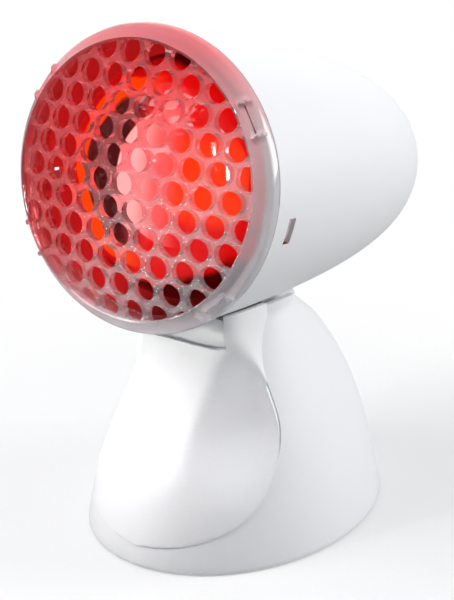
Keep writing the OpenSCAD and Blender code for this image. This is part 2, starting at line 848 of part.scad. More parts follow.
module guard() {
    color(clear)
        in_head()
            difference() {
                union() {
                    intersection() {
                        translate([0, 0, dome_h - dome_r])
                            difference() {
                                sphere(r = dome_r, $fn = 128);
                                sphere(r = dome_r - dome_t, $fn = 128);
                            }
                        cylinder(r = field_r + 0.6, h = 30);
                    }
                    rotate_extrude()
                        polygon([
                            [skirt_in_r, dome_z(skirt_in_r, dome_t)],
                            [skirt_in_r, dome_z(skirt_in_r) - 0.4],
                            [field_r + 0.2, dome_z(field_r) + 0.5],
                            [field_r + 0.8, dome_z(field_r) + 0.5],
                            each rim_line(0),
                            [skirt_out_r, guard_seat], [skirt_out_r, -skirt_l], [skirt_in_r, -skirt_l]
                        ]);
                    intersection() {
                        rotate_extrude()
                            polygon(concat([[field_r - 1, guard_seat], [field_r - 1, 6]], rim_line(0.7)));
                        for (a = pocket_at, side = [-1, 1])
                            rotate([0, 0, a])
                                translate([field_r - 2, side * pocket_half_w - rib_t / 2, 0])
                                    cube([field_margin + 4, rib_t, 10]);
                    }
                    for (a = [window_a, 180 - window_a])
                        rotate([0, 0, a]) {
                            translate([skirt_in_r + 0.1, -3.5, -window_l - window_w / 2 + 0.4])
                                cube([1.4, 7, 13.5]);
                            translate([skirt_in_r + 0.1, -3.5, -window_l - 1.2])
                                cube([2.6, 7, 2.4]);
                            translate([skirt_in_r - 1.6, -0.6, -7])
                                cube([1.8, 1.2, 10]);
                        }
                }
                intersection() {
                    for (p = hole_at)
                        translate([p.x, p.y, -1])
                            cylinder(r = (hole_pitch - hole_web) / 2, h = 30, $fn = 32);
                    translate([0, 0, -1])
                        cylinder(r = field_r - 0.2, h = 40);
                }
                for (a = pocket_at)
                    rotate([0, 0, a])
                        translate([skirt_out_r - 0.4, rib_t - pocket_half_w, -20])
                            cube([2.4, 2 * (pocket_half_w - rib_t), 24]);
            }
}

// ---------- reflector bulb ----------

bulb_r = bulb_d / 2;
glass_t = 1;
neck_r = 18;
// Depth of the domed face, and the length of the reflector behind it
face_depth = 27;
reflector_l = 62;
cap_top = bulb_face_z - bulb_len + cap_len + 4;
shoulder_z = bulb_face_z - face_depth;
// Front face and shoulder, then the reflector and the neck down to the cap
function bulb_line(d) = concat(
    [for (a = [0:7.5:90]) [(bulb_r - d) * pow(sin(a), 0.77), shoulder_z + (face_depth - d) * cos(a)]],
    [for (a = [7.5:7.5:82.5])
        [neck_r - d + (bulb_r - neck_r) * pow(cos(a), 1.15), shoulder_z - reflector_l * a / 90]],
    [[neck_r - d, shoulder_z - reflector_l], [neck_r - 1.4 - d, cap_top + 8], [cap_r - 1 - d, cap_top + 0.5]]
);

module bulb_glass() {
    color(ruby)
        in_body()
            rotate_extrude()
                polygon(concat(
                    bulb_line(0),
                    [[cap_r - 1, cap_top - 3], [cap_r - 1 - glass_t, cap_top - 3]],
                    [for (i = [len(bulb_line(glass_t)) - 1:-1:0]) bulb_line(glass_t)[i]]
                ));
}

module bulb_mirror() {
    line = [for (p = bulb_line(glass_t + 0.05)) if (p.y < shoulder_z + 3 && p.y > cap_top + 9) p];
    color([0.85, 0.85, 0.86])
        in_body()
            rotate_extrude()
                polygon(concat(line, [for (i = [len(line) - 1:-1:0]) [line[i].x - 0.3, line[i].y]]));
}

thread_pitch = 3.6;
cap_foot = bulb_face_z - bulb_len + 5;
module bulb_cap() {
    z0 = cap_foot;
    color(brass)
        in_body()
            rotate_extrude()
                polygon(concat(
                    [[cap_r - 2.4, z0], [cap_r - 1, z0]],
                    [for (k = [0:9]) [cap_r - (k % 2 == 0 ? 0.9 : 0), z0 + 1 + k * thread_pitch / 2]],
                    [[cap_r - 0.6, cap_top - 1.2], [cap_r - 0.6, cap_top], [cap_r - 0.95, cap_top],
                     [cap_r - 0.95, z0 + 16], [cap_r - 1.8, z0 + 15], [cap_r - 2.4, z0 + 1]]
                ));
}

module bulb_insulator() {
    z0 = cap_foot;
    color(black)
        in_body()
            rotate_extrude()
                polygon([
                    [0, z0], [cap_r - 2.5, z0], [cap_r - 2.5, z0 - 0.6], [6, z0 - 3.4], [4.8, z0 - 3.4],
                    [4.8, z0 - 3], [0, z0 - 3]
                ]);
}

module bulb_contact() {
    color(brass)
        in_body()
            translate([0, 0, bulb_face_z - bulb_len])
                cylinder(r1 = 3.6, r2 = 4.7, h = 1.9);
}

stem_z = bulb_face_z - 47;
stem_r = 3.2;
module bulb_stem() {
    color([0.9, 0.92, 0.92, 0.5])
        in_body()
            rotate_extrude()
                polygon([
                    [0, stem_z], [stem_r - 0.2, stem_z - 1], [stem_r, stem_z - 20],
                    [5, cap_top + 16], [9.5, cap_top + 2], [10.4, cap_top - 2],
                    [9.4, cap_top - 2], [4, cap_top + 12], [0, cap_top + 12]
                ]);
}

module bulb_filament() {
    coil_r = 9;
    color(steel)
        in_body() {
            for (sx = [-1, 1])
                translate([sx * coil_r, 0, stem_z - 8])
                    cylinder(r = 0.4, h = 12, $fn = 16);
            for (sx = [-1, 1])
                translate([sx * (stem_r + 0.05), 0, stem_z - 8])
                    rotate([0, sx * 90, 0])
                        cylinder(r = 0.38, h = coil_r + 0.4 - stem_r, $fn = 16);
            translate([0, 0, stem_z + 4])
                rotate_extrude(angle = 360, $fn = 48)
                    translate([coil_r, 0])
                        circle(r = 0.7, $fn = 16);
        }
}

// ---------- lamp holder ----------

holder_r = 19;
holder_front = cap_top;
cavity_z = bulb_face_z - bulb_len - 6;
sleeve_r = cap_r + 0.3;
holder_pole_x = 8;
holder_pole_y = -7.5;

module holder_body() {
    color(ceramic)
        in_body()
            difference() {
                rotate_extrude()
                    polygon([
                        [sleeve_r + 0.9, holder_front], [holder_r - 2, holder_front],
                        [holder_r, holder_front - 2], [holder_r, -holder_back],
                        [0, -holder_back], [0, cavity_z], [sleeve_r + 0.9, cavity_z]
                    ]);
                for (sx = [-1, 1]) {
                    translate([sx * holder_pole_x, holder_pole_y, -holder_back - 1])
                        cylinder(r = 2.4, h = 6);
                    translate([sx * holder_screw_x, 0, -holder_back - 1])
                        cylinder(r = 1.3, h = 9);
                }
            }
}

sleeve_half_turns = 11;
function thread_point(k, d) = [
    sleeve_r + (k % 2 == 0 ? 0.7 : 0) - d,
    holder_front - 2 - k * thread_pitch / 2
];
module holder_sleeve() {
    color(brass)
        in_body()
            rotate_extrude()
                polygon(concat(
                    [for (k = [0:sleeve_half_turns]) thread_point(k, 0)],
                    [for (k = [sleeve_half_turns:-1:0]) thread_point(k, 0.4)]
                ));
}

contact_path = [
    [-9, cavity_z + 0.6], [-3, cavity_z + 0.6], [2, bulb_face_z - bulb_len - 1.6],
    [3.6, bulb_face_z - bulb_len - 0.7]
];

module holder_contact() {
    color(brass)
        in_body()
            across(-2.5, 2.5)
                strip(contact_path, 0.5);
}

holder_screw_x = 14;

module holder_plate() {
    color(steel)
        in_body()
            difference() {
                translate([0, 0, -holder_back - holder_plate_t])
                    cylinder(r = holder_plate_r, h = holder_plate_t);
                translate([-9, -holder_plate_r - 5, -holder_back - 5])
                    cube([18, holder_plate_r - holder_r + 1, 10]);
                translate([-holder_pole_x - 3, holder_pole_y - 3.5, -holder_back - 5])
                    cube([2 * holder_pole_x + 6, 7, 10]);
                for (p = plate_boss_at)
                    translate([p.x, p.y, -holder_back - 5])
                        cylinder(r = 1.4, h = 10);
                for (sx = [-1, 1])
                    translate([sx * holder_screw_x, 0, -holder_back - 5])
                        cylinder(r = 1.5, h = 10);
                for (a = [30, 150])
                    rotate([0, 0, a])
                        translate([26, 0, -holder_back - 5])
                            cylinder(r = 4, h = 10);
            }
}

module plate_screws() {
    color(steel)
        in_body()
            for (p = plate_boss_at)
                translate([p.x, p.y, -holder_back])
                    screw(2.4, 1.4, 1, 8);
}

module holder_screws() {
    color(steel)
        in_body()
            for (sx = [-1, 1])
                translate([sx * holder_screw_x, 0, -holder_back - holder_plate_t])
                    rotate([180, 0, 0])
                        screw(2.4, 1.5, 1.2, 8);
}

rear_cowl();
front_petal();
base_plate();
foot_ring();
base_screws();
pivot_frame();
frame_screws();
pivot_axle();
axle_clips();
detent_spring();
spring_screws();
cord_inlet();
terminal_block();
terminal_screws();
lamp_wires();
tilt_drum();
drum_screws();
head_housing();
guard();
bulb_glass();
bulb_mirror();
bulb_cap();
bulb_insulator();
bulb_contact();
bulb_stem();
bulb_filament();
holder_body();
holder_sleeve();
holder_contact();
holder_screws();
holder_plate();
plate_screws();
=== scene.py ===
# %% [markdown]
# # An infrared heat lamp, dressed for its portrait
#
# The real object is a table lamp for warming sore muscles. A fat reflector bulb of ruby glass sits
# in a white, egg-shaped housing behind a clear guard full of round holes. The housing tilts on a
# bell-shaped stand whose front is a separate petal.
#
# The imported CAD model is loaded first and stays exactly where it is. This script gives every node
# a finish, and where a surface is broad and glossy it lays a finer skin over the CAD one.

# %% Load the frame
import math

import bmesh
import bpy
import numpy as np
from mathutils import Matrix, Vector


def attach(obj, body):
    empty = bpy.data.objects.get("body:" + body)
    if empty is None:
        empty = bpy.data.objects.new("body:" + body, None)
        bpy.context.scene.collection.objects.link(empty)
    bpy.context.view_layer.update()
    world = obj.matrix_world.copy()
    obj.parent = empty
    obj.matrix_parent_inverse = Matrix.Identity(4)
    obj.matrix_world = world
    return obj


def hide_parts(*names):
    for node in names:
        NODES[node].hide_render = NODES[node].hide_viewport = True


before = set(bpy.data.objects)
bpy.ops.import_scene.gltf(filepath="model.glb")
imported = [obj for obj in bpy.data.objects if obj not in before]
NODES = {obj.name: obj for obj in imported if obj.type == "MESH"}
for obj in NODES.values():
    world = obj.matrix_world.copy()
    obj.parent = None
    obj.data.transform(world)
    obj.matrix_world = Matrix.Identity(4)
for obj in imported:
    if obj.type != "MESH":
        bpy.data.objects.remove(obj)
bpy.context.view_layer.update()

# %% [markdown]
# ## The camera first
#
# The photograph was taken from the lamp's front right, a little above it. A camera is easiest to
# place from three directions: to the right of the picture, up in the picture, and into it. Their
# columns make the rotation matrix, so nothing has to be aimed by eye.

# %% Camera
AZIMUTH, ELEVATION, DISTANCE = 34.0, 21.9, 0.7392  # degrees, degrees, metres
AIM_RIGHT, AIM_UP = 0.00422, -0.0845  # how far the origin lies off the picture's middle, in metres
LENS, SENSOR = 102.0, 36.0


def camera_axes(azimuth, elevation):
    """Right, up and forward of a level camera: azimuth turns it about Z, elevation tips it down."""
    a, e = math.radians(azimuth), math.radians(elevation)
    right = Vector((math.cos(a), math.sin(a), 0))
    up = Vector((-math.sin(a) * math.sin(e), math.cos(a) * math.sin(e), math.cos(e)))
    return right, up, up.cross(right)


right, up, forward = camera_axes(AZIMUTH, ELEVATION)
place = -(AIM_RIGHT * right + AIM_UP * up + DISTANCE * forward)
camera = bpy.data.objects.new("portrait_camera", bpy.data.cameras.new("portrait_camera"))
camera.data.lens = LENS
camera.data.sensor_width = SENSOR
camera.matrix_world = Matrix.Translation(place) @ Matrix((right, up, -forward)).transposed().to_4x4()
bpy.context.scene.collection.objects.link(camera)
bpy.context.scene.camera = camera
print("camera at", [round(v, 3) for v in place])

# %% [markdown]
# ## Meshes from arrays
#
# Every new piece here is a sheet of points on a grid: one direction of the array runs along the
# piece and the other across it. Building the quads as one array, instead of looping over corners,
# keeps the formulas readable and the script quick.

# %% Helpers for grids and meshes
MM = 0.001


def grid_quads(rows, cols, wrap=False):
    """Quads of a rows x cols grid of points, stored row by row; wrap joins the last column to the first."""
    i = np.arange(rows - 1)[:, None]
    j = np.arange(cols if wrap else cols - 1)[None, :]
    k = (j + 1) % cols
    return np.stack([i * cols + j, i * cols + k, (i + 1) * cols + k, (i + 1) * cols + j], -1).reshape(-1, 4)


def mesh_object(name, points, quads, smooth_angle=40.0):
    """A smooth-shaded object from points in metres, with edges sharper than smooth_angle kept crisp."""
    mesh = bpy.data.meshes.new(name)
    mesh.vertices.add(len(points))
    mesh.vertices.foreach_set("co", np.ascontiguousarray(points, np.float32).ravel())
    mesh.loops.add(quads.size)
    mesh.loops.foreach_set("vertex_index", np.ascontiguousarray(quads, np.int32).ravel())
    mesh.polygons.add(len(quads))
    mesh.polygons.foreach_set("loop_start", np.arange(0, quads.size, 4, dtype=np.int32))
    mesh.update(calc_edges=True)
    mesh.validate()
    mesh.polygons.foreach_set("use_smooth", np.ones(len(mesh.polygons), bool))
    mesh.set_sharp_from_angle(angle=math.radians(smooth_angle))
    obj = bpy.data.objects.new(name, mesh)
    bpy.context.scene.collection.objects.link(obj)
    return obj


def apply_modifiers(obj, smooth_angle=40.0):
    """Turns the modified shape into the mesh itself, and marks its sharp edges again."""
    made = bpy.data.meshes.new_from_object(obj.evaluated_get(bpy.context.evaluated_depsgraph_get()))
    obj.modifiers.clear()
    obj.data = made
    made.polygons.foreach_set("use_smooth", np.ones(len(made.polygons), bool))
    made.set_sharp_from_angle(angle=math.radians(smooth_angle))
    return obj


def weld(obj, distance=2e-5):
    """Joins points that lie closer together than distance, in metres."""
    mod = obj.modifiers.new("weld", "WELD")
    mod.merge_threshold = distance
    return obj


def wall(obj, thickness, lip):
    """Gives a sheet its thickness, inwards, and a small round along edges sharper than 50 degrees."""
    solid = obj.modifiers.new("wall", "SOLIDIFY")
    solid.thickness = thickness
    solid.offset = -1
    solid.use_even_offset = True
    round_ = obj.modifiers.new("lip", "BEVEL")
    round_.width = lip
    round_.segments = 2
    round_.limit_method = "ANGLE"
    round_.angle_limit = math.radians(50)
    return obj


def joined(obj, *others):
    """Puts the meshes of the others into obj, and removes them."""
    whole = bmesh.new()
    for part in (obj, *others):
        whole.from_mesh(part.data)
    whole.to_mesh(obj.data)
    whole.free()
    for part in others:
        bpy.data.objects.remove(part)
    return obj


def face_table(obj):
    """Middles, in millimetres, and normals of all faces, one row each."""
    middles, normals = np.zeros((2, len(obj.data.polygons), 3), np.float32)
    obj.data.polygons.foreach_get("center", middles.ravel())
    obj.data.polygons.foreach_get("normal", normals.ravel())
    return middles / MM, normals


def dress(obj, body, *nodes):
    """The piece rides on a body and stands for these CAD nodes."""
    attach(obj, body)
    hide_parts(*nodes)
    print(obj.name, "has", len(obj.data.polygons), "faces")
    return obj


# %% [markdown]
# ## The stand's shape in numbers
#
# The stand is a bell: every level is an ellipse, and three curves give its half width, half depth
# and middle at each height. The petal is drawn on the bell's front. The same formulas as in the
# CAD source are repeated here with many more points, so that the gloss runs without facets.

# %% The bell and the petal's outline, in millimetres
BASE_W, BASE_D = 58.0, 72.8  # half width and half depth at the table
NECK_W, NECK_D = 26.0, 27.0  # and at the neck
BELL_H, LEAN = 95.0, 5.5  # height of the neck, and how far it leans forward
PETAL_W, PETAL_NECK = 40.3, 24.0  # half width of the petal where it is widest, and at the neck
TIP_Z, WIDE_Z, TOP_Z = 10.0, 36.0, 99.0  # heights of its tip, its widest place and its end
SLOT_Z, SLOT_W, FRONT_Y = 88.0, 20.0, -42.0  # the slot's floor and half width, and the neck's front
COWL_WALL, PETAL_WALL = 2.4, 2.2
PROUD, SEAT, EDGE_GAP = 0.8, 0.3, 0.25  # how far the petal stands out, its lift at the tip, and the seam
SKIRT_Z, SKIN_TOP = 10.02, 100.0  # where the closed skirt ends, and the skins' top before it meets the head


def cosd(a):
    """Cosine of an angle in degrees."""
    return np.cos(np.radians(a))


def sind(a):
    """Sine of an angle in degrees."""
    return np.sin(np.radians(a))


def smooth(a, b, x):
    """0 below a, 1 above b, and the S curve 3t^2 - 2t^3 between them."""
    t = np.clip((x - a) / (b - a), 0, 1)
    return t * t * (3 - 2 * t)


def climb(z):
    """Height as a share of the bell's, between 0 and 1."""
    return np.clip(z / BELL_H, 0, 1)


def bell_a(z):
    """Half width: it shrinks almost evenly, with the share of height to the power 1.1."""
    return BASE_W - (BASE_W - NECK_W) * climb(z) ** 1.1


def bell_b(z):
    """Half depth: it shrinks late, with the share of height to the power 2.4."""
    return BASE_D - (BASE_D - NECK_D) * climb(z) ** 2.4


def bell_y(z):
    """Middle: it moves forward near the top, with the share of height to the power 3.3."""
    return -LEAN * climb(z) ** 3.3


def petal_w(z):
    """Half width of the petal: a blunt tip that opens as a root curve, then half a cosine wave
    up to the neck."""
    below = np.clip(WIDE_Z - z, 0, None) / (WIDE_Z - TIP_Z)
    above = np.clip((z - WIDE_Z) / (TOP_Z - WIDE_Z), 0, 1)
    low = PETAL_W * np.sqrt(np.clip(1 - below ** 2.8, 0, None))
    high = PETAL_NECK + (PETAL_W - PETAL_NECK) * (1 + cosd(180 * above)) / 2
    return np.where(z < WIDE_Z, low, high)


def rim_share(z):
    """Half width of the petal as a share of the bell's, kept just under 1."""
    return np.minimum(0.9995, petal_w(z) / bell_a(z))


def rim_y(z):
    """Where the petal's edge lies: on the bell's front, at the petal's half width."""
    return bell_y(z) - bell_b(z) * np.sqrt(1 - rim_share(z) ** 2)


def front_y(z):
    """The petal's front line: half a cosine wave from the bell's foot to the upright neck."""
    rise = np.clip((z - TIP_Z) / (BELL_H - TIP_Z), 0, 1)
    foot = bell_y(TIP_Z) - bell_b(TIP_Z) - PROUD
    return FRONT_Y + (foot - FRONT_Y) * (1 + cosd(180 * rise)) / 2


def petal_y(t, z):
    """How far forward the petal's face lies at share t of its half width: the bell's own curve low down,
    a broad front with hollow flanks in the middle, and a box with round corners at the neck."""
    low, neck = 1 - smooth(25, 55, z), smooth(70, 94, z)
    rim, front = rim_y(z), front_y(z)
    bell = bell_y(z) - bell_b(z) * np.sqrt(np.clip(1 - (t * rim_share(z)) ** 2, 0, None))
    broad = 0.3 + 0.35 * smooth(50, 92, z)
    flared = rim + (front - rim) * (1 - smooth(broad, 1.02, t)) * (1 - 0.12 * t * t)
    boxed = rim + (front - rim) * np.clip(1 - t ** 5, 0, None) ** 0.2
    return low * bell + (1 - low - neck) * flared + neck * boxed


print("the bell is", 2 * BASE_W, "by", 2 * BASE_D, "mm at the table")

# %% [markdown]
# ## Where the head sits
#
# The head has its own frame: Z comes out of its mouth and Y points up. The stand's top edge
# follows the underside of the head, both at rest and tilted right up, with a small gap.

# %% The head's frame and its lines, in millimetres
MOUTH_Y, MOUTH_Z = -63.3, 160.0  # middle of the mouth
FACE_UP, DROOP = 10.0, 1.3  # the face looks up by one, and the housing behind it hangs by the other
MOUTH_R, HEAD_R, HEAD_LEN, HEAD_WALL = 58.0, 56.7, 174.0, 2.2
PIVOT_Y, PIVOT_Z, TILT_MAX = 6.0, 86.0, 30.0
NECK_GAP = 0.8  # between the stand's top edge and the head


def to_row(points, droop=DROOP):
    """Points of the head's own frame turned up by FACE_UP, less the droop, and moved to the mouth."""
    a = 90 - FACE_UP - droop
    x, y, z = np.moveaxis(np.asarray(points, float), -1, 0)
    return np.stack([x, MOUTH_Y + y * cosd(a) - z * sind(a), MOUTH_Z + y * sind(a) + z * cosd(a)], -1)


def head_share(s):
    """Radius of the housing, as a share of the mouth's, at share s of its length."""
    return np.clip(1 - np.clip(s, 0, 1) ** 1.34, 0, None) ** 0.25


def belly_z(x, y):
    """Height of the housing's underside over the point x, y of the stand."""
    lean = FACE_UP + DROOP
    r = HEAD_R * head_share(np.clip((y - MOUTH_Y) / cosd(lean), 0, None) / HEAD_LEN)
    axis_z = MOUTH_Z - (y - MOUTH_Y) * np.tan(np.radians(lean))
    return axis_z - np.sqrt(np.clip(r * r - x * x, 0, None)) / cosd(lean)


def neck_top(x, y):
    """The lowest that the underside comes over x, y at rest, half way and tilted right up, less the gap.
    The turned curve is found by stepping back along it."""
    lowest = belly_z(x, y)
    for tilt in (TILT_MAX / 2, TILT_MAX):
        g = np.full_like(x, 8.0)
        for _ in range(6):
            u = (y - PIVOT_Y - g * sind(tilt)) / cosd(tilt)
            g = belly_z(x, PIVOT_Y + u) - PIVOT_Z
        lowest = np.minimum(lowest, PIVOT_Z - u * sind(tilt) + g * cosd(tilt))
    return lowest - NECK_GAP


def level_z(v, top):
    """Heights that stay as they are low down and end at top instead of SKIN_TOP."""
    share = np.clip(v - SKIRT_Z, 0, None) / (SKIN_TOP - SKIRT_Z)
    return np.where(v < SKIRT_Z, v, v + (top - SKIN_TOP) * share ** 2)


print("mouth at", (0, MOUTH_Y, MOUTH_Z), "mm, facing up", FACE_UP, "degrees")

# %% [markdown]
# ## The rear cowl
#
# The cowl is the stand's shell: closed all round near the table, and open at the front where the
# petal sits. Its columns run from one edge of the petal round the back to the other edge. Below
# the petal's tip the first and the last column meet, and welding them closes the skirt.

# %% Rear cowl
def edge_turn(z):
    """0 where the petal's edge lies along the bell, 1 where it crosses the bell's wall."""
    share = rim_share(z)
    f = -np.degrees(np.arccos(share))
    way = np.stack([0.03 * petal_w(z), petal_y(1.0, z) - petal_y(0.97, z)])
    side = np.stack([-bell_a(z) * sind(f), bell_b(z) * cosd(f)])
    cross = side[1] * way[0] - side[0] * way[1]
    return np.clip(cross / np.hypot(*way) / np.hypot(*side), 0, None)


def cowl_points(cols, levels):
    """Ellipse angles that start and stop at the petal's edge, crowded towards it, on levels that end
    at the head."""
    q = np.linspace(0, 1, cols)[None, :]
    v = np.asarray(levels)[:, None]
    pull = np.sign(1 - 2 * q) * np.abs(1 - 2 * q) ** 1.8
    open_f = 360 * (q - 0.05 * sind(360 * q)) - 90
    top = np.full_like(q, BELL_H)
    for _ in range(6):
        top_f = open_f + (90 - np.degrees(np.arccos(rim_share(top)))) * pull
        x, y = bell_a(top) * cosd(top_f), bell_y(top) + bell_b(top) * sind(top_f)
        top = neck_top(np.clip(np.abs(x) - COWL_WALL, 0, None), y)
    z = level_z(v, top)
    zr = np.maximum(SKIRT_Z, z)
    rim = np.degrees(np.arccos(rim_share(zr)))
    stop = EDGE_GAP + 0.6 * (PETAL_WALL - PROUD) * edge_turn(zr)
    rim = rim - np.degrees(stop / np.hypot(bell_a(zr) * sind(rim), bell_b(zr) * cosd(rim)))
    rim = np.where(v < SKIRT_Z - 0.01, 90.0, rim)
    f = open_f + (90 - rim) * pull
    return np.stack([bell_a(z) * cosd(f), bell_y(z) + bell_b(z) * sind(f), z], -1)


cowl_levels = np.concatenate([
    np.linspace(0.8, 9.8, 7), SKIRT_Z + 13 * np.linspace(0, 1, 14) ** 1.8, np.linspace(24.5, SKIN_TOP, 46)
])
cowl_grid = cowl_points(193, cowl_levels)
cowl = mesh_object("cowl_skin", cowl_grid.reshape(-1, 3) * MM, grid_quads(*cowl_grid.shape[:2]))
weld(cowl)
wall(cowl, COWL_WALL * MM, 0.25 * MM)
apply_modifiers(cowl)
top_edge = cowl_grid[-1, :, 2]
print("the shell's top edge runs between", top_edge.min().round(1), "and", top_edge.max().round(1), "mm")

# %% [markdown]
# A saddle closes the deep notch at the back of the neck, between the tilting drum and the shell. It
# is a strip that follows the swept underside of the head and reaches into the shell's wall on both
# sides, so its rows only need their two ends.

# %% The saddle in the notch
DRUM_R, SADDLE, SADDLE_ROWS = 15.0, 2.0, 25


def saddle_block(rows):
    """Rows of four corners, from the drum to the back wall: as wide as the bell at that height."""
    back_z = cowl_grid[-1, cowl_grid.shape[1] // 2, 2]
    y = np.linspace(PIVOT_Y + DRUM_R + 2, bell_y(back_z) + bell_b(back_z) - COWL_WALL / 2, rows)
    top = neck_top(0 * y, y) - 0.2
    corners = []
    for z in (top, top - SADDLE):
        x = bell_a(z) * np.sqrt(np.clip(1 - ((y - bell_y(z)) / bell_b(z)) ** 2, 0, None)) - COWL_WALL / 2
        corners += [np.stack([-x, y, z], -1), np.stack([x, y, z], -1)]
    return np.stack([corners[0], corners[1], corners[3], corners[2]], 1)


saddle_grid = saddle_block(SADDLE_ROWS)
ends = np.array([[0, 1, 2, 3], [3, 2, 1, 0]]) + np.array([[0], [4 * SADDLE_ROWS - 4]])
saddle_quads = np.concatenate([grid_quads(SADDLE_ROWS, 4, wrap=True)[:, ::-1], ends])
saddle = mesh_object("saddle", saddle_grid.reshape(-1, 3) * MM, saddle_quads)
joined(cowl, saddle)
dress(cowl, "stand", "rear_cowl")

# %% [markdown]
# ## The front petal
#
# The petal stands a little proud of the bell. Its rows are pushed out along their own normals, and
# the slot in its neck is left out by dropping the faces that lie inside it.

# %% Front petal
def pushed(rows, d):
    """Each row of points moved by d to the right of its travel, level by level."""
    way = np.gradient(rows[..., :2], axis=1)
    unit = way / np.linalg.norm(way, axis=-1, keepdims=True)
    out = rows.copy()
    out[..., 0] += d * unit[..., 1]
    out[..., 1] -= d * unit[..., 0]
    return out


def petal_points(t, levels):
    """Shares of the half width across, levels that end at the head upwards, and petal_y forwards."""
    t = t[None, :]
    v = np.asarray(levels)[:, None]
    lift = SEAT * (1 - smooth(TIP_Z, WIDE_Z, v))
    top = belly_z(t * PETAL_NECK, petal_y(np.abs(t), TOP_Z)) - NECK_GAP
    z = np.where(v < SLOT_Z, v, SLOT_Z + (v - SLOT_Z) / (SKIN_TOP - SLOT_Z) * (top - SLOT_Z)) + lift
    w = np.maximum(0.5, petal_w(z - lift))
    return np.stack([t * w, petal_y(np.abs(t), z), z], -1)


SLOT_T = SLOT_W / (PETAL_NECK + 0.1)
side_t = sind(np.linspace(math.degrees(math.asin(SLOT_T)), 90, 25))
mid_t = np.linspace(0, SLOT_T, 41)
half_t = np.concatenate([mid_t, side_t[1:]])
petal_t = np.concatenate([-half_t[:0:-1], half_t])
petal_levels = np.concatenate([
    SKIRT_Z + 13 * np.linspace(0, 1, 16) ** 1.8, np.linspace(24.2, SLOT_Z, 48),
    np.linspace(SLOT_Z, SKIN_TOP, 11)[1:]
])
petal_grid = pushed(petal_points(petal_t, petal_levels), PROUD)
petal_quads = grid_quads(*petal_grid.shape[:2])
row_of, col_of = petal_quads[:, 0] // len(petal_t), petal_quads[:, 0] % len(petal_t)
first_slot_row = int(np.searchsorted(petal_levels, SLOT_Z - 0.01))
inside_slot = (row_of >= first_slot_row) & (np.abs(petal_t[col_of] + petal_t[col_of + 1]) / 2 < SLOT_T)
petal = mesh_object("petal_skin", petal_grid.reshape(-1, 3) * MM, petal_quads[~inside_slot])
weld(petal, 1e-6)
wall(petal, PETAL_WALL * MM, 0.3 * MM)
apply_modifiers(petal)
dress(petal, "stand", "front_petal")

# %% [markdown]
# ## The head housing
#
# The housing is a turned shape: one curve from the rim of the mouth to the tail, carried round the
# axis. The tail closes at a pole, so its last ring is shrunk to almost nothing and welded. The
# windows, the tail's vents and the wire's way in are cut afterwards with boxes.

# %% Head housing
def turned(profile, cols, droop):
    """The profile's (radius, z) points carried round the head's axis."""
    f = np.linspace(0, 360, cols, endpoint=False)[None, :]
    r, z = np.asarray(profile, float).T[..., None]
    return to_row(np.stack([r * cosd(f), r * sind(f), z + 0 * f], -1), droop)


def turned_object(name, profile, cols, droop=DROOP, smooth_angle=35.0):
    """A closed piece turned from a profile, with its poles and its last edge welded."""
    grid = turned(profile, cols, droop)
    obj = mesh_object(name, grid.reshape(-1, 3) * MM, grid_quads(len(profile), cols, wrap=True), smooth_angle)
    return apply_modifiers(weld(obj, 1e-6), smooth_angle)


def box_mesh(name, low, high, turn=0.0, in_head=True):
    """A box of the head's frame, turned about its axis, or of the row frame, as a cutter."""
    x, y, z = [np.array(v, float) for v in zip(low, high)]
    corners = np.array([[x[i], y[j], z[k]] for k in (0, 1) for j in (0, 1) for i in (0, 1)])
    if in_head:
        c, s = cosd(turn), sind(turn)
        corners[:, :2] = corners[:, :2] @ np.array([[c, s], [-s, c]])
        corners = to_row(corners)
    quads = np.array([[0, 2, 3, 1], [4, 5, 7, 6], [0, 1, 5, 4], [2, 6, 7, 3], [0, 4, 6, 2], [1, 3, 7, 5]])
    return mesh_object(name, corners * MM, quads)


def cut(obj, cutters, smooth_angle=35.0):
    """Takes the cutters' volume out of obj, and removes them."""
    for cutter in cutters:
        mod = obj.modifiers.new("cut", "BOOLEAN")
        mod.object = cutter
        mod.operation = "DIFFERENCE"
        mod.solver = "EXACT"
    apply_modifiers(obj, smooth_angle)
    for cutter in cutters:
        bpy.data.objects.remove(cutter)
    return obj


RIM_IN, RIM_BACK = HEAD_R - HEAD_WALL - 0.6, -5.6  # the mouth ring's bore and back
BODY_Z = -2.2  # where the body starts behind the ring's face
LIP_T, LIP_Z, LAP = 0.5, -2.9, 0.1  # the guard's lip, and its play on the ring
WINDOW_TURNS = -10.7, 190.7
VENTS, VENT_STEP, VENT_HALF, VENT_RING = 7, 6.0, 1.3, 22.0
u = np.linspace(0, 1, 90)
s = 1 - (1 - u) ** 3
outer_line = np.stack([HEAD_R * head_share(s), -HEAD_LEN * s], -1)
inner_line = np.stack([(HEAD_R - HEAD_WALL) * head_share(s), -(HEAD_LEN - HEAD_WALL) * s], -1)
outer_line, inner_line = [line[line[:, 1] < RIM_BACK - 0.1] for line in (outer_line, inner_line)]
housing_line = np.concatenate([
    [[HEAD_R - HEAD_WALL, BODY_Z], [HEAD_R, BODY_Z]], outer_line[:-1], [[1e-4, -HEAD_LEN]],
    [[1e-4, -HEAD_LEN + HEAD_WALL]], inner_line[-2::-1], [[HEAD_R - HEAD_WALL, BODY_Z]]
])
ring_line = np.array([
    [RIM_IN, RIM_BACK], [RIM_IN, -0.2], [RIM_IN + 0.2, 0],
    [MOUTH_R - LIP_T - LAP, 0], [MOUTH_R - LIP_T - LAP, LIP_Z - 0.2], [MOUTH_R - LAP, LIP_Z - 0.2],
    [MOUTH_R, LIP_Z - 0.35], [MOUTH_R - 0.7, RIM_BACK], [RIM_IN, RIM_BACK]
])
housing = turned_object("housing_skin", housing_line[::-1], 192)
window_boxes = [
    box_mesh(f"window_{i}", (40, -5, -19.9), (70, 5, -14.9), turn) for i, turn in enumerate(WINDOW_TURNS)
]
vent_boxes = []
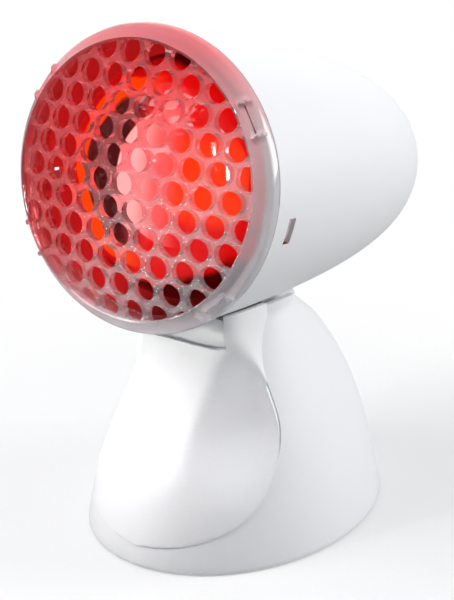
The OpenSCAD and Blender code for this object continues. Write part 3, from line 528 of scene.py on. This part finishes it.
for i in range(VENTS):
    x = (i - VENTS // 2) * VENT_STEP
    h = math.sqrt(VENT_RING ** 2 - x * x) - 3
    vent_boxes.append(box_mesh(f"vent_{i}", (x - VENT_HALF, -h, -184), (x + VENT_HALF, h, -158)))
gate_box = box_mesh("gate", (-5, PIVOT_Y + 6, PIVOT_Z), (5, PIVOT_Y + 17, PIVOT_Z + 30), in_head=False)
cut(housing, window_boxes + vent_boxes + [gate_box])
mouth_ring = turned_object("mouth_ring", ring_line[::-1], 192, droop=0)
joined(housing, mouth_ring)
middles, normals = face_table(housing)
mouth, ahead = to_row([(0, 0, 0), (0, 0, 1)])
along = (middles - mouth) @ (ahead - mouth)
out_from = middles - mouth - along[:, None] * (ahead - mouth)
inner_face = ((normals * out_from).sum(1) < 0) & (along < -0.5) & (along > -70)
print("housing:", int(inner_face.sum()), "faces look inwards")
dress(housing, "head", "head_housing")

# %% [markdown]
# ## The bulb
#
# A reflector bulb is blown in one piece: a softly domed face, a tight shoulder, a long cone and a
# neck. The cone is silvered inside. The face is ruby, and the mirror seen through it makes bright and
# dark patches; here those patches are painted reflections and painted shade in the glass's colour.

# %% Bulb and its silvering
BULB_R, BULB_NECK, GLASS = 47.5, 18.0, 1.0
BULB_FACE, SHOULDER, CONE = 1.0, 27.0, 62.0  # where the face ends, and how deep the shoulder and the cone are


def bulb_line(d):
    """Face and shoulder as a quarter of a rounded square, then a cosine cone to the neck, all d
    inside the glass."""
    a = np.linspace(0, 90, 70)
    b = np.linspace(0, 90, 60)[1:-1]
    wide_z = BULB_FACE - SHOULDER
    face = np.stack([(BULB_R - d) * sind(a) ** 0.77, wide_z + (SHOULDER - d) * cosd(a)], -1)
    cone = np.stack([BULB_NECK - d + (BULB_R - BULB_NECK) * cosd(b) ** 1.15, wide_z - CONE * b / 90], -1)
    neck = np.array([
        [BULB_NECK - d, wide_z - CONE], [BULB_NECK - 0.3 - d, -92], [BULB_NECK - 1.4 - d, -96], [12 - d, -103.5]
    ])
    face[0, 0] = 1e-4
    return np.concatenate([face, cone, neck])


glass_line = np.concatenate([bulb_line(0), [[12, -107], [11, -107]], bulb_line(GLASS)[::-1]])
bulb = turned_object("bulb_skin", glass_line[::-1], 144, smooth_angle=60)
dress(bulb, "head", "bulb_glass")
back = bulb_line(GLASS + 0.05)
back = back[(back[:, 1] < BULB_FACE - SHOULDER + 3) & (back[:, 1] > -95)]
mirror_line = np.concatenate([back, back[::-1] - [0.3, 0], back[:1]])
mirror = turned_object("silvering", mirror_line[::-1], 144, smooth_angle=60)
dress(mirror, "head", "bulb_mirror")

# %% [markdown]
# ## The guard
#
# The guard is one moulding of clear plastic: a domed face full of round holes, a rim, and a short
# skirt inside the mouth. Its CAD shape is already right, so a merged copy of that mesh is enough:
# with shared corners the dome and the holes can be shaded smooth, and only real edges stay sharp. A
# thin lip is added that laps over the mouth ring's side, where the photograph shows clear plastic.

# %% Guard
def merged_copy(name, source, smooth_angle):
    """A copy of a CAD mesh with its doubled corners joined."""
    whole = bmesh.new()
    whole.from_mesh(source.data)
    bmesh.ops.remove_doubles(whole, verts=whole.verts, dist=1e-6)
    mesh = bpy.data.meshes.new(name)
    whole.to_mesh(mesh)
    whole.free()
    mesh.polygons.foreach_set("use_smooth", np.ones(len(mesh.polygons), bool))
    mesh.set_sharp_from_angle(angle=math.radians(smooth_angle))
    obj = bpy.data.objects.new(name, mesh)
    bpy.context.scene.collection.objects.link(obj)
    return obj


MARGIN_R, HOLE_WALL = 53, 0.15  # radius beyond the lattice, and how little a hole's wall faces the mouth
guard = merged_copy("guard_skin", NODES["guard"], 25)
lip_line = np.array([
    [MOUTH_R - LIP_T, LIP_Z], [MOUTH_R - LAP, LIP_Z], [MOUTH_R, LIP_Z + LAP], [MOUTH_R, -0.5],
    [MOUTH_R - 0.2, 0.3], [MOUTH_R - 0.4, 1.2], [MOUTH_R - 0.7, 1.7], [MOUTH_R - 0.9, 1.4],
    [MOUTH_R - LIP_T, 0.6], [MOUTH_R - LIP_T, LIP_Z]
])
joined(guard, turned_object("guard_lip", lip_line, 192, droop=0))
middles, normals = face_table(guard)
mouth, ahead = to_row([(0, 0, 0), (0, 0, 1)], 0)
head_axis = ahead - mouth
facing = np.abs(normals @ head_axis)
off = middles - mouth
margin = np.linalg.norm(off - (off @ head_axis)[:, None] * head_axis, axis=1) > MARGIN_R
guard_part = np.where(margin, 2, np.where(facing < HOLE_WALL, 1, 0)).astype(np.int32)
print("guard faces: lattice, hole walls and margin", np.bincount(guard_part))
dress(guard, "head", "guard")

# %% [markdown]
# ## Finishes
#
# A moulded part is never one flat colour: its shade and gloss wander a little, and the skin carries
# a very fine grain. That shared effect is one node group with named sockets, placed in each material
# with its own values.

# %% The moulded-skin group
def node(tree, kind, place=(0, 0), **values):
    """A new node at a place in the tree, with its properties or inputs set by name."""
    made = tree.nodes.new(kind)
    made.location = place
    for name, value in values.items():
        if hasattr(made, name):
            setattr(made, name, value)
        else:
            made.inputs[name.replace("_", " ")].default_value = value
    return made


def moulded_skin():
    """Colour, roughness and height that wander slowly over a piece and carry a fine grain."""
    group = bpy.data.node_groups.new("moulded skin", "ShaderNodeTree")
    sockets = group.interface
    sockets.new_socket("Vector", in_out="INPUT", socket_type="NodeSocketVector")
    for name, value in (("Colour", (0.9, 0.9, 0.9, 1)), ("Shade", (0.8, 0.8, 0.8, 1))):
        sockets.new_socket(name, in_out="INPUT", socket_type="NodeSocketColor").default_value = value
    for name, value in (("Patches", 60.0), ("Grain", 4000.0), ("Low Gloss", 0.35), ("High Gloss", 0.25)):
        sockets.new_socket(name, in_out="INPUT", socket_type="NodeSocketFloat").default_value = value
    sockets.new_socket("Colour", in_out="OUTPUT", socket_type="NodeSocketColor")
    for name in ("Roughness", "Height"):
        sockets.new_socket(name, in_out="OUTPUT", socket_type="NodeSocketFloat")
    start = node(group, "NodeGroupInput", (-600, 0))
    end = node(group, "NodeGroupOutput", (600, 0))
    patches = node(group, "ShaderNodeTexNoise", (-300, 150), Detail=1.0, Roughness=0.4)
    grain = node(group, "ShaderNodeTexNoise", (-300, -200), Detail=2.0, Roughness=0.6)
    mix = node(group, "ShaderNodeMix", (100, 200), data_type="RGBA")
    gloss = node(group, "ShaderNodeMapRange", (100, -50))
    gloss.inputs["From Min"].default_value = 0.1
    gloss.inputs["From Max"].default_value = 0.9
    link = group.links.new
    for tex, size in ((patches, "Patches"), (grain, "Grain")):
        link(start.outputs["Vector"], tex.inputs["Vector"])
        link(start.outputs[size], tex.inputs["Scale"])
    link(patches.outputs["Fac"], mix.inputs["Factor"])
    link(start.outputs["Colour"], mix.inputs["A"])
    link(start.outputs["Shade"], mix.inputs["B"])
    link(patches.outputs["Fac"], gloss.inputs["Value"])
    link(start.outputs["High Gloss"], gloss.inputs["To Min"])
    link(start.outputs["Low Gloss"], gloss.inputs["To Max"])
    link(mix.outputs["Result"], end.inputs["Colour"])
    link(gloss.outputs["Result"], end.inputs["Roughness"])
    link(grain.outputs["Fac"], end.inputs["Height"])
    return group


SKIN = moulded_skin()
print("group", SKIN.name, "with", len(SKIN.nodes), "nodes")


# %% [markdown]
# Every finish of the lamp is the same short recipe: two close colours, a range of gloss, how many
# patches and grains there are in a metre, and how deep the grain is. Metal, glass or a clear coat
# are constants on the shader's own sockets.

# %% A material built on that group
def finish_material(name, colour, shade, gloss, patches, grain, bump, **shader):
    """Principled BSDF fed by the moulded-skin group; shader sets its own constant sockets."""
    mat = bpy.data.materials.new(name)
    mat.use_nodes = True
    tree = mat.node_tree
    bsdf = tree.nodes["Principled BSDF"]
    where = node(tree, "ShaderNodeTexCoord", (-900, 0))
    skin = node(tree, "ShaderNodeGroup", (-650, 0))
    skin.node_tree = SKIN
    skin.inputs["Colour"].default_value = (*colour, 1)
    skin.inputs["Shade"].default_value = (*shade, 1)
    skin.inputs["Patches"].default_value = patches
    skin.inputs["Grain"].default_value = grain
    skin.inputs["High Gloss"].default_value, skin.inputs["Low Gloss"].default_value = gloss
    bumps = node(tree, "ShaderNodeBump", (-300, -300), Strength=bump, Distance=0.0002)
    link = tree.links.new
    link(where.outputs["Object"], skin.inputs["Vector"])
    link(skin.outputs["Colour"], bsdf.inputs["Base Color"])
    link(skin.outputs["Roughness"], bsdf.inputs["Roughness"])
    link(skin.outputs["Height"], bumps.inputs["Height"])
    link(bumps.outputs["Normal"], bsdf.inputs["Normal"])
    for socket, value in shader.items():
        bsdf.inputs[socket.replace("_", " ")].default_value = value
    return mat


shell_white = finish_material("shell white", (0.87, 0.875, 0.88), (0.85, 0.855, 0.865), (0.40, 0.47),
                              patches=25, grain=2500, bump=0.04)
petal_white = finish_material("petal white", (0.89, 0.892, 0.895), (0.87, 0.873, 0.88), (0.36, 0.42),
                              patches=25, grain=2500, bump=0.03)
# The housing's inner wall: painted red light from the bulb, with a weak glow of its own.
painted_bulb_light = finish_material("lit inner wall", (0.62, 0.02, 0.022), (0.54, 0.014, 0.016), (0.35, 0.45),
                             patches=30, grain=2500, bump=0.03, Emission_Strength=0.3)
sheet_steel = finish_material("sheet steel", (0.56, 0.57, 0.58), (0.48, 0.49, 0.50), (0.3, 0.42),
                              patches=90, grain=1500, bump=0.1, Metallic=1.0)
screw_steel = finish_material("screw steel", (0.62, 0.62, 0.63), (0.54, 0.54, 0.55), (0.22, 0.34),
                              patches=300, grain=3000, bump=0.08, Metallic=1.0)
cap_brass = finish_material("cap brass", (0.70, 0.55, 0.26), (0.60, 0.45, 0.20), (0.22, 0.36),
                            patches=200, grain=2500, bump=0.06, Metallic=1.0)
ceramic = finish_material("glazed ceramic", (0.80, 0.78, 0.72), (0.74, 0.71, 0.65), (0.18, 0.26),
                          patches=70, grain=1200, bump=0.05, Coat_Weight=0.4)
black_rubber = finish_material("black rubber", (0.03, 0.03, 0.033), (0.045, 0.045, 0.048), (0.6, 0.75),
                               patches=120, grain=1800, bump=0.25)
black_glass = finish_material("black glass", (0.02, 0.02, 0.025), (0.03, 0.03, 0.035), (0.1, 0.18),
                              patches=200, grain=2500, bump=0.03)
sheath = finish_material("wire sheath", (0.20, 0.13, 0.10), (0.15, 0.10, 0.08), (0.45, 0.6),
                         patches=200, grain=2500, bump=0.1)
silver = finish_material("silvering", (0.90, 0.90, 0.90), (0.84, 0.84, 0.85), (0.05, 0.12),
                         patches=40, grain=900, bump=0.03, Metallic=1.0)
print("finishes:", len(bpy.data.materials))

# %% [markdown]
# ## Glass and clear plastic
#
# Both clear finishes are drawn in the head's own frame: a Mapping node turns Object coordinates into
# millimetres right, up and out of the mouth. The guard is thin clear plastic that lets most light
# straight through, so it is a see-through skin with a soft white body instead of a heavy lens. The
# bulb's red light is painted into its colour as a glow at its upper left, and it is almost colourless
# at the lower right.

# %% Small helpers for patterns
def calc(tree, operation, *values):
    """A Math node; each value is a number, or a socket that is linked in."""
    made = node(tree, "ShaderNodeMath", operation=operation)
    for socket, value in zip(made.inputs, values):
        if isinstance(value, (int, float)):
            socket.default_value = value
        else:
            tree.links.new(value, socket)
    return made.outputs[0]


def between(tree, value, low, high):
    """0 at low, 1 at high, and a smooth S between them."""
    made = node(tree, "ShaderNodeMapRange", interpolation_type="SMOOTHSTEP")
    made.inputs["From Min"].default_value = low
    made.inputs["From Max"].default_value = high
    tree.links.new(value, made.inputs["Value"])
    return made.outputs["Result"]


def blended(tree, share, first, second):
    """first where share is 0 and second where it is 1; both are colours or sockets."""
    made = node(tree, "ShaderNodeMix", data_type="RGBA")
    tree.links.new(share, made.inputs["Factor"])
    for name, colour in (("A", first), ("B", second)):
        socket = next(i for i in made.inputs if i.name == name and i.type == "RGBA")
        if isinstance(colour, tuple):
            socket.default_value = (*colour, 1)
        else:
            tree.links.new(colour, socket)
    return next(o for o in made.outputs if o.type == "RGBA")


def head_place(tree):
    """Sockets for x right and y up, in millimetres from the middle of the mouth."""
    where = node(tree, "ShaderNodeTexCoord", (-1500, 300))
    turn = node(tree, "ShaderNodeMapping", (-1300, 300), vector_type="TEXTURE")
    turn.inputs["Location"].default_value = (0, MOUTH_Y * MM, MOUTH_Z * MM)
    turn.inputs["Rotation"].default_value = (math.radians(90 - FACE_UP), 0, 0)
    turn.inputs["Scale"].default_value = (MM, MM, MM)
    split = node(tree, "ShaderNodeSeparateXYZ", (-1100, 300))
    tree.links.new(where.outputs["Object"], turn.inputs["Vector"])
    tree.links.new(turn.outputs["Vector"], split.inputs["Vector"])
    return split.outputs["X"], split.outputs["Y"]


# %% Clear guard
def clear_plastic(name, cloud, colour, painted_glow):
    """Clear plastic whose body colour shows by the share cloud, with the bulb's red light painted into
    its colour as a glow that fades across the head."""
    shade = tuple(0.95 * v for v in colour)
    made = finish_material(name, colour, shade, (0.03, 0.07), patches=40, grain=900, bump=0.02,
                           Transmission_Weight=1 - cloud, IOR=1.08, Coat_Weight=1.0, Coat_Roughness=0.03)
    tree = made.node_tree
    x, y = head_place(tree)
    # Painted light: the bulb's red glow is mixed into the base colour, strongest at the upper left.
    lean = calc(tree, "ADD", calc(tree, "MULTIPLY", x, -0.75), calc(tree, "MULTIPLY", y, 0.65))
    glow = calc(tree, "MULTIPLY", between(tree, lean, -38, 24), 0.9)
    bsdf = tree.nodes["Principled BSDF"]
    painted_glow_colour = blended(tree, glow, bsdf.inputs["Base Color"].links[0].from_socket, painted_glow)
    tree.links.new(painted_glow_colour, bsdf.inputs["Base Color"])
    return made


# The last colour of each is the bulb's red light, painted into the plastic's colour.
guard_clear = clear_plastic("guard clear", 0.2, (0.88, 0.84, 0.85), (0.88, 0.17, 0.18))
guard_cut = clear_plastic("guard clear edge", 0.0, (0.86, 0.80, 0.82), (0.85, 0.40, 0.42))
guard_rim = clear_plastic("guard clear margin", 0.55, (0.84, 0.82, 0.84), (0.98, 0.19, 0.21))
print("clear plastics:", guard_clear.name, guard_cut.name, guard_rim.name)

# %% [markdown]
# The bulb's front is ruby glass with the silvered cone behind it. Such a bulb never looks evenly red:
# the pale neck of the mirror shows as a light disc, the cone repeats it as a dark and then an orange
# ring, and the shoulder falls off into dark red. Tracing that through two curved layers of glass is
# slow and grainy, so these reflections and the dark shade are painted into the glass's colour, as
# distances from two centres: one for the pale disc, and one for the rings round it. A weak glow of the
# same painted colours stands for the filament's light.

# %% Ruby glass
ruby_glass = finish_material("ruby glass", (0.5, 0.01, 0.01), (0.45, 0.01, 0.01), (0.03, 0.06),
                             patches=30, grain=300, bump=0.02, Transmission_Weight=0.2, IOR=1.5,
                             Specular_IOR_Level=0.35, Emission_Strength=0.55)
RED, DEEP, DARK = (0.58, 0.003, 0.003), (0.46, 0.002, 0.004), (0.05, 0.001, 0.001)
ORANGE, FIRE = (0.74, 0.055, 0.001), (0.80, 0.035, 0.002)
PALE, ROSE = (0.86, 0.40, 0.39), (0.70, 0.09, 0.09)
DISC_X, DISC_Y, DISC_R = 14, 3, 26
RING_X, RING_Y, DARK_R, ORANGE_R, SHOULDER_R = 0, 2, 29, 37, 41.5
RIPPLE, RIPPLE_SCALE = 9.0, 55.0


def distance(tree, x, y, from_x, from_y):
    """How far x, y is from a point, in millimetres."""
    steps = [calc(tree, "SUBTRACT", value, at) for value, at in ((x, from_x), (y, from_y))]
    return calc(tree, "SQRT", calc(tree, "ADD", *[calc(tree, "POWER", step, 2.0) for step in steps]))


tree = ruby_glass.node_tree
x, y = head_place(tree)
streaks = node(tree, "ShaderNodeTexNoise", (-1100, 0), Scale=RIPPLE_SCALE, Detail=2.0)
where = next(n for n in tree.nodes if n.type == "TEX_COORD")
tree.links.new(where.outputs["Object"], streaks.inputs["Vector"])
ripple = calc(tree, "MULTIPLY", calc(tree, "SUBTRACT", streaks.outputs["Fac"], 0.5), RIPPLE)
away = calc(tree, "ADD", distance(tree, x, y, RING_X, RING_Y), ripple)
# Painted reflections and painted shade: on the left a dark and then an orange ring and deeper red, on the right
# orange-red, and dark at the top and bottom of the shoulder.
left = between(tree, x, 4, -10)
high_or_low = calc(tree, "MAXIMUM", between(tree, y, 16, 26), between(tree, y, -22, -30))
shoulder = calc(tree, "MULTIPLY", between(tree, away, SHOULDER_R - 1.5, SHOULDER_R + 1.5), high_or_low)
outer = blended(tree, left, RED, DEEP)
outer = blended(tree, calc(tree, "MULTIPLY", shoulder, between(tree, x, -26, -14)), outer, DARK)
fire = blended(tree, between(tree, calc(tree, "ABSOLUTE", calc(tree, "SUBTRACT", y, 4)), 11, 20), FIRE, RED)
ring = blended(tree, left, fire, ORANGE)
ring = blended(tree, calc(tree, "MULTIPLY", between(tree, y, 20, 30), between(tree, x, -6, 6)), ring, RED)
rings = blended(tree, between(tree, away, ORANGE_R - 1, ORANGE_R + 1), ring, outer)
inner = blended(tree, left, fire, DARK)
rings = blended(tree, between(tree, away, DARK_R - 1, DARK_R + 1), inner, rings)
disc = blended(tree, between(tree, x, -6, 8), PALE, ROSE)
disc = blended(tree, between(tree, x, 7, 18), disc, fire)
off_disc = between(tree, distance(tree, x, y, DISC_X, DISC_Y), DISC_R - 0.4, DISC_R + 0.4)
painted_reflections = blended(tree, off_disc, disc, rings)
bsdf = tree.nodes["Principled BSDF"]
tree.links.new(painted_reflections, bsdf.inputs["Base Color"])
tree.links.new(painted_reflections, bsdf.inputs["Emission Color"])
print("ruby glass reads", len(tree.nodes), "nodes")

# %% [markdown]
# The inside of the housing is the same white plastic, but its colour is painted with the bulb's light:
# painted red light on the left, where the light falls, and painted shade, dark, in the shadow of the
# bulb's shoulder. It also glows weakly, though it is no lamp.

# %% The lit inner wall
SHADE_RED = (0.10, 0.002, 0.003)
tree = painted_bulb_light.node_tree
x, y = head_place(tree)
bsdf = tree.nodes["Principled BSDF"]
lit_side = blended(tree, between(tree, x, -24, 2), bsdf.inputs["Base Color"].links[0].from_socket, SHADE_RED)
tree.links.new(lit_side, bsdf.inputs["Base Color"])
tree.links.new(lit_side, bsdf.inputs["Emission Color"])
print("inner wall reads", len(tree.nodes), "nodes")

# %% [markdown]
# Now every CAD node gets its finish from one table. Where a new skin stands for a node, the skin is
# painted instead; a slot name is listed beside each skin, but nothing reads it.

# %% The table of finishes
stem_clear = finish_material("stem glass", (0.93, 0.96, 0.96), (0.90, 0.94, 0.94), (0.03, 0.08),
                             patches=60, grain=900, bump=0.02, Transmission_Weight=1.0, IOR=1.5)

FINISHES = {
    shell_white: ["rear_cowl", "tilt_drum", "head_housing"],
    petal_white: ["front_petal"],
    sheet_steel: ["base_plate", "pivot_frame", "holder_plate"],
    screw_steel: ["base_screws", "frame_screws", "pivot_axle", "axle_clips", "detent_spring", "spring_screws",
                  "terminal_screws", "drum_screws", "holder_screws", "plate_screws", "bulb_filament"],
    cap_brass: ["bulb_cap", "bulb_contact", "holder_sleeve", "holder_contact"],
    ceramic: ["terminal_block", "holder_body"],
    black_rubber: ["foot_ring", "cord_inlet"],
    black_glass: ["bulb_insulator"],
    sheath: ["lamp_wires"],
    silver: ["bulb_mirror"],
    guard_clear: ["guard"],
    ruby_glass: ["bulb_glass"],
    stem_clear: ["bulb_stem"],
}
SKINS = {
    "rear_cowl": (cowl, "white_shell"),
    "front_petal": (petal, "petal_shell"),
    "head_housing": (housing, "white_shell"),
    "bulb_glass": (bulb, "ruby_glass"),
    "bulb_mirror": (mirror, "mirror_coat"),
    "guard": (guard, "guard_clear"),
}
for material, names in FINISHES.items():
    for name in names:
        obj, slot = SKINS.get(name, (NODES[name], None))
        obj.data.materials.clear()
        obj.data.materials.append(material)
guard.data.materials.append(guard_cut)
guard.data.materials.append(guard_rim)
guard.data.polygons.foreach_set("material_index", guard_part)
housing.data.materials.append(painted_bulb_light)
housing.data.polygons.foreach_set("material_index", inner_face.astype(np.int32))
print("painted", sum(len(v) for v in FINISHES.values()), "pieces")

# %% [markdown]
# ## Floor, backdrop and light
#
# The photograph is a cut-out on white. The floor is pale and keeps a soft shadow near the lamp, and
# further out it glows white for the camera. To every other ray it is a darker grey, so that it
# doesn't fill the shades under the head.

# %% Floor
REACH, NEAR_GLOW = 3.0, 0.4  # half the floor's side, and the share of glow under the lamp
corners = REACH * np.array([[-1, -1, 0], [1, -1, 0], [1, 1, 0], [-1, 1, 0]], float)
floor = mesh_object("floor", corners, np.array([[0, 1, 2, 3]]))
floor_mat = bpy.data.materials.new("pale floor")
floor_mat.use_nodes = True
tree = floor_mat.node_tree
bsdf = tree.nodes["Principled BSDF"]
bsdf.inputs["Roughness"].default_value = 0.9
glow = node(tree, "ShaderNodeEmission", (0, -250), Color=(1, 1, 1, 1), Strength=1.0)
rays = node(tree, "ShaderNodeLightPath", (-300, 300))
blend = node(tree, "ShaderNodeMixShader", (300, 0))
link = tree.links.new
pale = blended(tree, rays.outputs["Is Camera Ray"], (0.32, 0.32, 0.32), (0.76, 0.76, 0.76))
link(pale, bsdf.inputs["Base Color"])
where = node(tree, "ShaderNodeTexCoord", (-900, 500))
reach = node(tree, "ShaderNodeVectorMath", (-700, 500), operation="LENGTH")
link(where.outputs["Object"], reach.inputs[0])
outside = between(tree, reach.outputs["Value"], 0.10, 0.26)
far = calc(tree, "MULTIPLY_ADD", outside, 1 - NEAR_GLOW, NEAR_GLOW)
link(calc(tree, "MULTIPLY", rays.outputs["Is Camera Ray"], far), blend.inputs["Fac"])
link(bsdf.outputs[0], blend.inputs[1])
link(glow.outputs[0], blend.inputs[2])
link(blend.outputs[0], tree.nodes["Material Output"].inputs["Surface"])
floor.data.materials.append(floor_mat)
print("floor laid,", 2 * REACH, "m wide")

# %% [markdown]
# The world has two faces. The camera, and whatever the clear plastic lets through, sees plain white,
# and so do reflections that look backwards. The light on the lamp comes from a gentler sky, brighter
# overhead than low down and behind the lamp than in front of it.

# %% World
world = bpy.data.worlds.new("white room")
bpy.context.scene.world = world
world.use_nodes = True
tree = world.node_tree
lit = tree.nodes["Background"]
lit.inputs["Color"].default_value = (0.93, 0.95, 1.0, 1)
seen = node(tree, "ShaderNodeBackground", (0, -200), Color=(1, 1, 1, 1), Strength=1.0)
rays = node(tree, "ShaderNodeLightPath", (-700, 200))
where = node(tree, "ShaderNodeTexCoord", (-900, -100))
split = node(tree, "ShaderNodeSeparateXYZ", (-700, -100))
blend = node(tree, "ShaderNodeMixShader", (300, 0))
link = tree.links.new
link(where.outputs["Generated"], split.inputs["Vector"])
overhead = calc(tree, "MULTIPLY_ADD", between(tree, split.outputs["Z"], 0, 1), 0.6, 0.28)
front = calc(tree, "MULTIPLY_ADD", between(tree, split.outputs["Y"], -0.9, 0.1), 0.6, 0.4)
link(calc(tree, "MULTIPLY", overhead, front), lit.inputs["Strength"])
behind = calc(tree, "MULTIPLY", rays.outputs["Is Glossy Ray"], between(tree, split.outputs["Y"], -0.1, 0.5))
seen_by = calc(tree, "MAXIMUM", rays.outputs["Is Camera Ray"], rays.outputs["Is Transmission Ray"])
link(calc(tree, "MAXIMUM", seen_by, behind), blend.inputs["Fac"])
link(lit.outputs[0], blend.inputs[1])
link(seen.outputs[0], blend.inputs[2])
link(blend.outputs[0], tree.nodes["World Output"].inputs["Surface"])
print("world reads", len(tree.nodes), "nodes")


# %% [markdown]
# Three broad lamps shape the white plastic: the key from above at the front left, one from the right
# behind, and a weak fill from the left. A small one behind a grid only lightens the petal. Two panes
# leave the plastic alone and show as the bright glints on the bulb.

# %% Lamps
def soft_lamp(name, at, towards, size, power, spread=180):
    """An area lamp, size wide and high, at a point and facing another, in metres; a grid narrows
    its spread, in degrees."""
    lamp = bpy.data.objects.new(name, bpy.data.lights.new(name, "AREA"))
    lamp.data.shape = "RECTANGLE"
    lamp.data.size, lamp.data.size_y = size
    lamp.data.energy = power
    lamp.data.spread = math.radians(spread)
    aim = (Vector(towards) - Vector(at)).to_track_quat("-Z", "Y")
    lamp.matrix_world = Matrix.Translation(at) @ aim.to_matrix().to_4x4()
    bpy.context.scene.collection.objects.link(lamp)
    return lamp


middle = (0, -0.01, 0.12)
soft_lamp("key", (-0.60, -0.80, 1.20), middle, (0.9, 0.9), 16.5)
soft_lamp("side", (1.10, 0.85, 0.52), middle, (0.8, 0.8), 13)
soft_lamp("left fill", (-1.40, -0.20, 0.40), middle, (0.7, 0.7), 0.8)
petal_light = soft_lamp("petal light", (-0.45, -0.95, 0.30), (-0.01, -0.05, 0.085), (0.12, 0.08), 0.045, 14)
petal_light.visible_glossy = False
left_pane = soft_lamp("left pane", (0.22, -1.06, 0.74), middle, (0.09, 0.20), 3.2)
right_pane = soft_lamp("right pane", (0.56, -1.05, 0.51), middle, (0.11, 0.26), 4.2)
left_pane.visible_diffuse = right_pane.visible_diffuse = False
print("lamps:", len(bpy.data.lights))

bpy.context.scene.view_settings.view_transform = "Standard"
